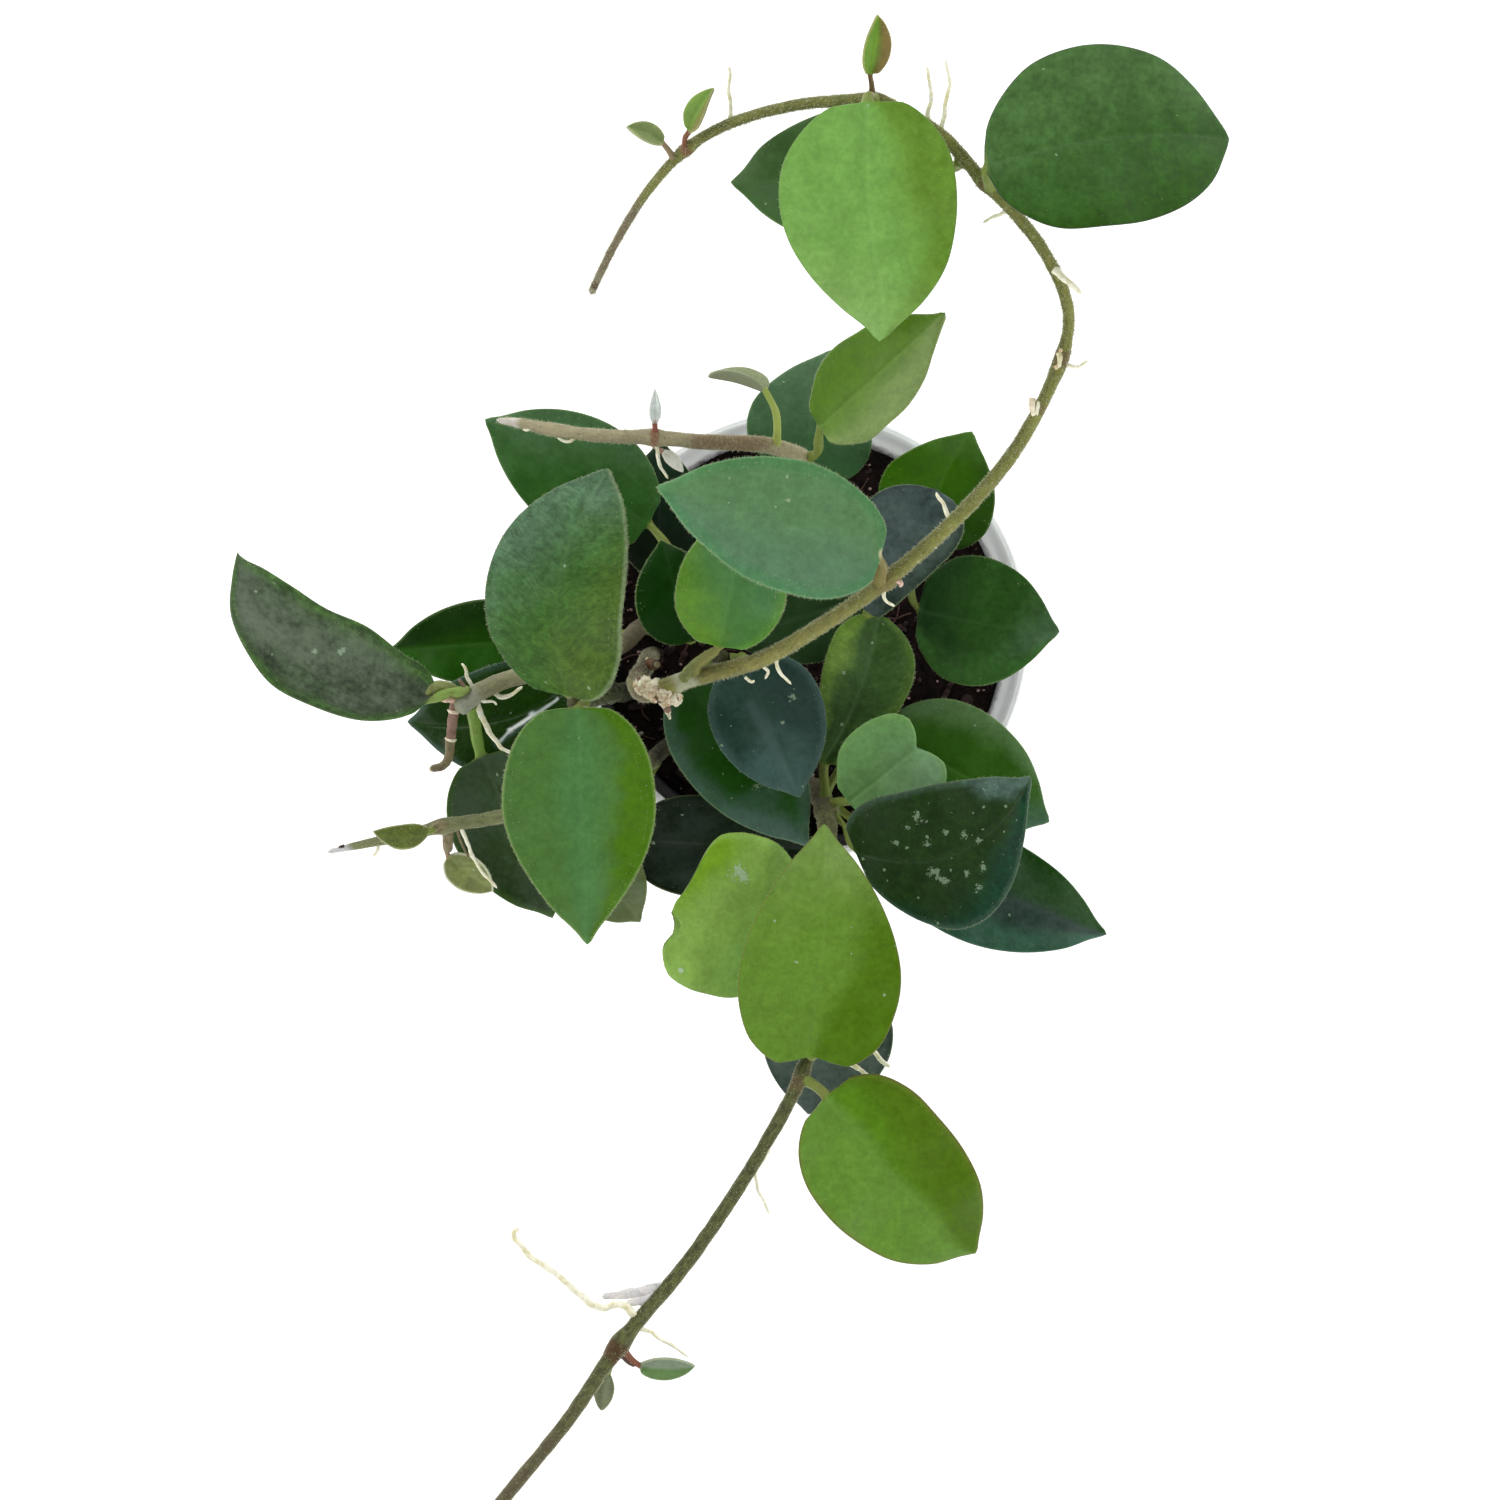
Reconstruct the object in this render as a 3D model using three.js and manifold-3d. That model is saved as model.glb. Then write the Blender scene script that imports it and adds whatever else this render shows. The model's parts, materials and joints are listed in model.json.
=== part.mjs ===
// Potted hoya chouke: a young trailing plant in a round nursery pot.
// Millimetres, Z up, origin at the centre of the pot's underside.
import * as THREE from 'three';
import { mergeVertices } from 'three/addons/utils/BufferGeometryUtils.js';
import Module from 'manifold-3d';

const wasm = await Module();
wasm.setup();
const { Manifold, Mesh: SolidMesh } = wasm;
const { Vector3 } = THREE;

// Pot and soil
const rimHeight = 95;
const rimRadius = 55;
const rimBandHeight = 9;
const shoulderRadius = 52;
const baseRadius = 38;
const potWall = 1.3;
const potSides = 36;
const drainHoles = 6;
const drainHoleRadius = 3;
const drainCircle = 26;
const drainSides = 8;
const soilLevel = 84;
const soilRelief = 1.6;
const clearance = 0.3;

// Leaves
const leafThickness = 1.5;
const edgeThickness = 0.7;
const petioleRadius = 1.15;

// Plan places are read at the level of the rim from a point over the plant.
// A place standing higher than the rim is drawn in towards that point.
const lookFrom = new Vector3(-13.2, -28.4, rimHeight + 480);

function place(x, y, up) {
  const share = up / (lookFrom.z - rimHeight);
  return new Vector3(
    x + (lookFrom.x - x) * share,
    y + (lookFrom.y - y) * share,
    rimHeight + up,
  );
}

const colours = {
  pot: 0xe6e7ea,
  soil: 0x2b1d15,
  bark: 0x8a7a66,
  vine: 0x6b6a4a,
  pale: 0x6fa54a,
  mid: 0x3f7d3a,
  blue: 0x3b6f55,
  deep: 0x1f4f2c,
  dusk: 0x24403a,
};

let seed = 7;
function random() {
  seed = (seed * 1103515245 + 12345) % 2147483648;
  return seed / 2147483648;
}

function toSolid(geometry) {
  const welded = mergeVertices(geometry, 1e-5);
  return new Manifold(new SolidMesh({
    numProp: 3,
    vertProperties: new Float32Array(welded.attributes.position.array),
    triVerts: new Uint32Array(welded.index.array),
  }));
}

function toGeometry(solid) {
  const mesh = solid.getMesh();
  const geometry = new THREE.BufferGeometry();
  const points = new Float32Array((mesh.vertProperties.length / mesh.numProp) * 3);
  for (let i = 0; i < points.length / 3; i += 1) {
    for (let c = 0; c < 3; c += 1) points[i * 3 + c] = mesh.vertProperties[i * mesh.numProp + c];
  }
  geometry.setAttribute('position', new THREE.BufferAttribute(points, 3));
  geometry.setIndex(Array.from(mesh.triVerts));
  return geometry;
}

// A closed skin over rings that all have the same count of points.
// Strips from halfWay on are split along the other diagonal.
function skin(rings, halfWay) {
  const count = rings[0].length;
  const points = [];
  const faces = [];
  for (const ring of rings) for (const point of ring) points.push(point.x, point.y, point.z);
  for (let r = 0; r < rings.length - 1; r += 1) {
    for (let k = 0; k < count; k += 1) {
      const a = r * count + k;
      const b = r * count + ((k + 1) % count);
      const c = b + count;
      const d = a + count;
      if (k < halfWay) faces.push(a, b, c, a, c, d);
      else faces.push(a, b, d, b, c, d);
    }
  }
  const last = (rings.length - 1) * count;
  for (let k = 1; k < count - 1; k += 1) {
    faces.push(0, k + 1, k);
    faces.push(last, last + k, last + k + 1);
  }
  const geometry = new THREE.BufferGeometry();
  geometry.setAttribute('position', new THREE.Float32BufferAttribute(points, 3));
  geometry.setIndex(faces);
  return geometry;
}

// A round tube along a list of centres with a radius at each.
function tube(centres, radii, sides) {
  const rings = [];
  let across = null;
  for (let i = 0; i < centres.length; i += 1) {
    const before = centres[Math.max(0, i - 1)];
    const after = centres[Math.min(centres.length - 1, i + 1)];
    const along = after.clone().sub(before).normalize();
    if (!across) {
      const helper = Math.abs(along.z) > 0.8 ? new Vector3(1, 0, 0) : new Vector3(0, 0, 1);
      across = helper.cross(along).normalize();
    }
    across = across.clone().addScaledVector(along, -across.dot(along)).normalize();
    const third = along.clone().cross(across);
    const ring = [];
    for (let k = 0; k < sides; k += 1) {
      const turn = (2 * Math.PI * k) / sides;
      ring.push(centres[i].clone()
        .addScaledVector(across, Math.cos(turn) * radii[i])
        .addScaledVector(third, Math.sin(turn) * radii[i]));
    }
    rings.push(ring);
  }
  return skin(rings, sides);
}

// Stems: each is a run of [x, y, up, radius] places joined by a smooth curve.
// Joints are slightly swollen; roots and stubs are thin runs grown from it.
const stemRuns = {
  loop_vine: {
    colour: colours.vine,
    run: [
      [-34, -5, -30, 2.4], [-37.5, -5, -6, 2.6], [-38, -9.5, 14, 2.9], [-36.5, -14, 27, 3.5],
      [-28, -11, 32, 2.1], [-11, -6.5, 40, 1.9], [6.5, 3.5, 48, 1.8], [20, 13, 55, 1.8],
      [35.5, 26.5, 62, 1.7], [50.5, 44, 70, 1.6], [62.8, 67.5, 80, 1.55], [64.6, 79, 85, 1.45],
      [59.4, 92.3, 91.5, 1.4], [50.5, 104, 97, 1.4], [44.5, 110, 100, 1.45], [33.5, 122, 103, 1.35],
      [23.5, 128, 103, 1.35], [17.5, 130.5, 102, 1.35], [10, 130.4, 100, 1.25], [-3.5, 129, 96, 1.2],
      [-18.5, 124.6, 90, 1.2], [-28.7, 118.6, 84, 1.2], [-38, 108.5, 78, 1.05],
      [-46.4, 95, 72, 0.95], [-52.2, 83, 66, 0.75],
    ],
    joints: [[3, 1.25], [7, 1.35], [10, 1.3], [14, 1.3], [17, 1.3], [21, 1.35]],
    roots: [
      [0.5, [-18, 125.5, 90], [-18, 131.5, 92], [-18.5, 139, 94]],
      [0.5, [30, 125.5, 103], [31, 132, 106], [30.5, 138.5, 107]],
      [0.5, [33.5, 123, 103], [35.5, 132, 106], [35, 140.5, 108]],
      [0.5, [50.5, 104, 97], [47, 102, 96], [43.5, 100.5, 95]],
      [0.8, [60.5, 90, 90.5], [64, 87.5, 91], [67.7, 84, 90]],
      [0.5, [62, 67.5, 80], [66.5, 65.5, 80], [69.5, 66.5, 80]],
      [0.6, [62.4, 68.5, 81.6], [62.2, 66.8, 82], [61.8, 65, 81.2]],
      [0.5, [55.5, 54.5, 74.5], [57, 53.5, 75], [55.5, 51, 74]],
      [0.5, [35.5, 26.5, 62], [34, 31, 61], [33.5, 35, 60]],
      [0.5, [20, 13, 55], [19.5, 8.5, 54], [22, 7, 53]],
      [0.5, [-7, -4.5, 42], [-6, -9, 41], [-3.5, -12.5, 40]],
      [0.5, [-11, -6.5, 40], [-9, -9.5, 39], [-9.5, -11.5, 38]],
      [1.1, [-36.5, -14, 27], [-33.5, -17.5, 28], [-32.5, -19.5, 29]],
    ],
  },
  back_vine: {
    colour: colours.vine,
    run: [
      [-9.5, 28, -38, 2], [-9.5, 28, -6, 2], [-4.5, 35, 16, 1.9], [-1, 43, 34, 1.9],
      [-8.5, 46, 39, 1.8], [-25.5, 47, 42, 1.7], [-36.5, 48, 43, 1.6], [-50, 48.5, 43, 1.5],
      [-62, 50, 42, 1.4], [-73.5, 52, 40, 1.1],
    ],
    joints: [[3, 1.25], [6, 1.3], [8, 1.15]],
    roots: [
      [0.5, [-36.5, 48, 43], [-35.5, 42, 42], [-33, 38, 41]],
      [0.5, [-57, 49, 42.5], [-58, 46, 42], [-60, 45.5, 41.5]],
    ],
  },
  left_stem: {
    colour: colours.bark,
    run: [
      [-36, 1.5, -30, 2.3], [-40, 1.5, -6, 2.3], [-44.5, -2.5, 10, 2.2], [-55, -7.5, 22, 2.1],
      [-66, -9.5, 28, 2], [-72, -11, 31, 2], [-78, -13.5, 33, 2.1], [-83.5, -16.5, 34, 2.3],
    ],
    joints: [[4, 1.15], [7, 1.2]],
    roots: [
      [1.2, [-83, -15, 34], [-85.5, -20, 33], [-86, -27, 31], [-91.5, -33, 30]],
      [0.55, [-81.5, -14, 33.5], [-83.5, -10.5, 36], [-84, -7, 37]],
      [0.55, [-79, -14, 33], [-75.5, -23.5, 30], [-70.5, -29, 28]],
      [0.5, [-74.5, -12, 32], [-71.5, -14.5, 31], [-68, -14.5, 30]],
    ],
  },
  low_vine: {
    colour: colours.vine,
    run: [
      [-29, -24, -30, 2], [-34, -28, -6, 2], [-40, -33, 9, 1.9], [-50, -38, 21, 1.8],
      [-59.5, -41, 28, 1.7], [-73, -44.5, 33, 1.6], [-88, -47, 35, 1.5], [-101, -50, 36, 1.2],
      [-114.5, -53, 35, 0.8],
    ],
    joints: [[3, 1.2], [6, 1.3], [7, 1.2]],
    roots: [
      [0.5, [-84.5, -46.5, 35], [-81, -55, 33], [-77, -62, 32]],
      [0.5, [-86, -47, 35], [-86.5, -53, 33.5], [-84.5, -57.5, 33]],
    ],
  },
  front_vine: {
    colour: colours.vine,
    run: [
      [2.5, -38, -38, 2.5], [2.5, -38, -6, 2.6], [5.5, -43.5, 12, 2.5], [5.5, -55.5, 22, 2.1],
      [4, -77.5, 32, 1.8], [2, -97, 41, 1.6], [-0.3, -107, 46, 1.5], [-10.2, -126, 54, 1.35],
      [-27.3, -152, 66, 1.35], [-45.3, -174, 78, 1.5], [-57.5, -192, 88, 1.35], [-73.4, -211.5, 97, 1.3],
      [-84.8, -226.5, 103, 1.15], [-91, -236, 106, 0.8],
    ],
    joints: [[2, 1.25], [6, 1.2], [9, 1.35], [12, 1.25]],
    roots: [
      [0.8, [2.5, -95, 40], [9, -103, 40], [16, -108.5, 39]],
      [0.85, [2.8, -92, 39], [14, -99.5, 40], [21, -106, 39]],
      [0.5, [-8.5, -126, 54], [-12, -132.5, 54], [-8.5, -142, 53]],
      [0.85, [-40, -168.5, 74.5], [-44, -164.3, 75], [-49, -164.8, 75], [-55, -161.9, 75.5],
        [-58, -158.2, 76], [-67.7, -151.6, 77], [-70.9, -146.8, 78], [-69.6, -145, 78.5]],
      [1.4, [-36, -162.5, 73], [-41, -161.6, 74], [-49.5, -162.5, 74.5]],
      [0.5, [-41, -169.5, 75.5], [-37, -171, 75], [-28, -177, 74]],
    ],
  },
  right_stem: {
    colour: colours.bark,
    run: [[26, 19, -38, 2], [26, 19, -6, 2], [25, 17, 8, 1.9], [20.5, 10.5, 20, 1.7]],
    joints: [[2, 1.15], [3, 1.2]],
    roots: [],
  },
  back_stem: {
    colour: colours.bark,
    run: [[-25.5, 8.5, -38, 2], [-25.5, 8.5, -6, 2], [-26, 8.5, 8, 1.9], [-27, 7.5, 20, 1.7]],
    joints: [[2, 1.15], [3, 1.2]],
    roots: [],
  },
  middle_stem: {
    colour: colours.bark,
    run: [[-20.5, -6, -38, 2], [-20.5, -6, -6, 2], [-20.5, -6, 8, 1.8], [-19.5, -6, 18, 1.6]],
    joints: [[2, 1.15], [3, 1.2]],
    roots: [],
  },
  crown_stem: {
    colour: colours.bark,
    run: [
      [-37, -12, -30, 2.2], [-43, -14, -6, 2.2], [-47, -14.5, 10, 2.1], [-52.5, -16, 27, 1.9],
      [-56.5, -17, 43, 1.7],
    ],
    joints: [[2, 1.15], [4, 1.2]],
    roots: [],
  },
};

function curveOf(run) {
  return new THREE.CatmullRomCurve3(run.map(([x, y, up]) => place(x, y, up)), false, 'centripetal');
}

function radiusAt(stem, at) {
  const low = Math.min(Math.floor(at), stem.run.length - 2);
  const part = at - low;
  let radius = stem.run[low][3] * (1 - part) + stem.run[low + 1][3] * part;
  for (const [where, swell] of stem.joints) {
    radius *= 1 + (swell - 1) * Math.exp(-(((at - where) * stem.spacing[where]) ** 2) / 5);
  }
  return radius;
}

function prepareStems() {
  for (const stem of Object.values(stemRuns)) {
    stem.curve = curveOf(stem.run);
    const last = stem.run.length - 1;
    stem.spacing = stem.run.map((unused, i) => {
      const other = i < last ? i + 1 : i - 1;
      return stem.curve.getPoint(i / last).distanceTo(stem.curve.getPoint(other / last));
    });
  }
}

function makeStem(stem) {
  const last = stem.run.length - 1;
  const stations = new Set();
  for (let i = 0; i <= last; i += 1) stations.add(i);
  for (let i = 1; i < last; i += 1) stations.add(i + 0.5);
  for (const [where] of stem.joints) {
    const step = 2.4 / stem.spacing[where];
    for (const at of [where - step, where + step]) if (at > 0 && at < last) stations.add(at);
  }
  const places = [...stations].sort((a, b) => a - b);
  const centres = places.map((at) => stem.curve.getPoint(at / last));
  const radii = places.map((at) => radiusAt(stem, at));
  let solid = toSolid(tube(centres, radii, 7));
  for (const [radius, ...run] of stem.roots) {
    const path = new THREE.CatmullRomCurve3(run.map(([x, y, up]) => place(x, y, up)));
    const steps = run.length;
    const rootCentres = [];
    const rootRadii = [];
    for (let i = 0; i <= steps; i += 1) {
      rootCentres.push(path.getPoint(i / steps));
      rootRadii.push(radius * (1 - 0.45 * (i / steps)));
    }
    solid = solid.add(toSolid(tube(rootCentres, rootRadii, 4)));
  }
  return solid;
}

// Blade outlines, from the petiole to the tip: [place along the middle, half width,
// how far the edge runs ahead of the middle], as shares of length, half width and length.
const outlines = {
  pointed: [
    [0.03, 0.4, -0.02], [0.1, 0.7, -0.01], [0.22, 0.93, 0], [0.38, 1, 0], [0.54, 0.95, 0],
    [0.7, 0.77, 0], [0.84, 0.48, 0], [0.94, 0.18, 0], [1, 0.03, 0],
  ],
  broad: [
    [0.025, 0.42, -0.02], [0.09, 0.74, -0.01], [0.22, 0.96, 0], [0.4, 1, 0], [0.58, 0.95, 0],
    [0.74, 0.79, 0], [0.88, 0.49, 0], [0.96, 0.18, 0], [1, 0.03, 0],
  ],
  egg: [
    [0.025, 0.42, -0.02], [0.09, 0.72, -0.01], [0.22, 0.94, 0], [0.4, 1, 0], [0.55, 0.92, 0],
    [0.7, 0.7, 0], [0.84, 0.4, 0], [0.94, 0.15, 0], [1, 0.03, 0],
  ],
  heart: [
    [0.035, 0.42, -0.065], [0.1, 0.78, -0.045], [0.22, 0.97, -0.01], [0.36, 1, 0], [0.52, 0.9, 0],
    [0.68, 0.7, 0], [0.83, 0.42, 0], [0.94, 0.15, 0], [1, 0.03, 0],
  ],
  blunt: [
    [0.03, 0.26, -0.01], [0.1, 0.43, 0], [0.22, 0.62, 0], [0.38, 0.82, 0], [0.54, 0.95, 0],
    [0.7, 1, 0], [0.84, 0.88, 0], [0.94, 0.6, 0], [1, 0.2, 0],
  ],
  full: [
    [0.03, 0.36, -0.01], [0.09, 0.64, 0], [0.22, 0.9, 0], [0.4, 1, 0], [0.58, 0.98, 0],
    [0.75, 0.82, 0], [0.88, 0.54, 0], [0.96, 0.22, 0], [1, 0.03, 0],
  ],
  square: [
    [0.03, 0.34, -0.02], [0.12, 0.62, 0], [0.26, 0.86, 0], [0.42, 0.98, 0], [0.58, 1, 0],
    [0.74, 0.98, 0.01], [0.88, 0.88, 0.03], [0.94, 0.62, 0.05], [0.97, 0.25, 0.03],
  ],
  notched: [
    [0.03, 0.34, -0.02], [0.12, 0.62, 0], [0.26, 0.86, 0], [0.42, 0.98, 0], [0.58, 1, 0.01],
    [0.72, 0.95, 0.04], [0.82, 0.78, 0.12], [0.86, 0.52, 0.15], [0.88, 0.22, 0.08],
  ],
};

const acrossTop = [-1, -0.55, 0, 0.55, 1];

// One leaf: a round petiole that flattens into a lens-shaped blade.
// roll lifts the left side, cup and fold lift both sides, arch lifts the middle.
// bend carries the middle to the right, hook does so near the tip, and trail holds
// the right side back there. pull is the petiole's share that lies along the blade.
function makeLeaf(spec) {
  const outline = outlines[spec.outline ?? 'pointed'];
  const base = place(...spec.base);
  const tip = place(...spec.tip);
  const along = tip.clone().sub(base);
  const length = along.length();
  along.normalize();
  const side = along.clone().cross(new Vector3(0, 0, 1)).normalize();
  side.applyAxisAngle(along, ((spec.roll ?? 0) * Math.PI) / 180);
  const face = side.clone().cross(along);
  const half = spec.wide / 2;
  const thick = spec.thick ?? leafThickness;
  const petiole = spec.petiole ?? petioleRadius;
  const cup = spec.cup ?? 0.08;
  const fold = spec.fold ?? 0.05;
  const arch = spec.arch ?? 0.05;
  const bend = spec.bend ?? 0;
  const hook = spec.hook ?? 0;
  const trail = spec.trail ?? 0;
  const wave = spec.wave ?? 0.02;
  const rings = [];

  const stem = stemRuns[spec.stem];
  const share = spec.at / (stem.run.length - 1);
  const centre = stem.curve.getPoint(share);
  const stemWay = stem.curve.getTangent(share);
  const target = spec.via ? place(...spec.via) : base;
  const out = target.clone().sub(centre);
  out.addScaledVector(stemWay, -out.dot(stemWay)).normalize();
  const start = centre.clone().addScaledVector(out, radiusAt(stem, spec.at) + clearance + 0.05);
  const reach = start.distanceTo(base);
  const firstPull = out.clone().multiplyScalar(reach * 0.45).add(start);
  const lastPull = along.clone().multiplyScalar(-reach * (spec.pull ?? 0.4)).add(base);
  const middle = spec.via ? [place(...spec.via)] : [];
  const path = spec.via
    ? new THREE.CatmullRomCurve3([start, start.clone().addScaledVector(out, 1), ...middle, base])
    : new THREE.CubicBezierCurve3(start, firstPull, lastPull, base);

  // Petiole rings, turned little by little from the stem to the blade.
  const small = spec.wide < 10;
  const steps = small ? 2 : 3;
  for (let i = 0; i < steps; i += 1) {
    const t = i / steps;
    const middle = path.getPoint(t);
    const way = i === 0 ? out.clone() : path.getTangent(t);
    const ringSide = side.clone().addScaledVector(way, -side.dot(way)).normalize();
    const ringFace = ringSide.clone().cross(way);
    const size = petiole * (1 + 0.18 * (1 - t) ** 4);
    const ring = [];
    for (let k = 0; k < 10; k += 1) {
      const turn = (Math.PI * (162 - 36 * k)) / 180;
      ring.push(middle.clone()
        .addScaledVector(ringSide, Math.cos(turn) * size)
        .addScaledVector(ringFace, Math.sin(turn) * size));
    }
    rings.push(ring);
  }

  const spine = (u) => base.clone()
    .addScaledVector(along, length * u)
    .addScaledVector(face, arch * length * 4 * u * (1 - u))
    .addScaledVector(side, (bend * 4 * u + hook * 12 * u ** 4) * (1 - u) * length);
  const throat = [];
  for (let k = 0; k < 10; k += 1) {
    const turn = (Math.PI * (162 - 36 * k)) / 180;
    throat.push(base.clone()
      .addScaledVector(side, Math.cos(turn) * petiole * 1.25)
      .addScaledVector(face, Math.sin(turn) * petiole * 0.8));
  }
  rings.push(throat);

  for (const [index, [u, share, ahead]] of outline.entries()) {
    if (small && index % 2 === 1) continue;
    const middle = spine(u);
    const halfHere = half * share;
    const body = edgeThickness + (thick - edgeThickness) * Math.min(1, share * 1.6);
    const top = [];
    const under = [];
    for (const v of acrossTop) {
      const far = Math.abs(v);
      const lift = (cup * v * v + fold * far) * halfHere
        + wave * length * far * Math.sin(5.2 * u * Math.PI + (v > 0 ? 0.9 : 2.6) + (spec.turn ?? 0));
      const sweep = (ahead * far - trail * Math.max(0, v) * u * u) * length;
      const thickness = edgeThickness + (body - edgeThickness) * (1 - v ** 2);
      const groove = v === 0 ? 0.25 * Math.min(1, share * 2) : 0;
      const point = middle.clone()
        .addScaledVector(side, v * halfHere)
        .addScaledVector(along, sweep)
        .addScaledVector(face, lift);
      top.push(point.clone().addScaledVector(face, thickness / 2 - groove));
      under.push(point.clone().addScaledVector(face, -thickness / 2 - groove * 0.4));
    }
    rings.push([...top, ...under.reverse()]);
  }
  return skin(rings, 5);
}

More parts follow.
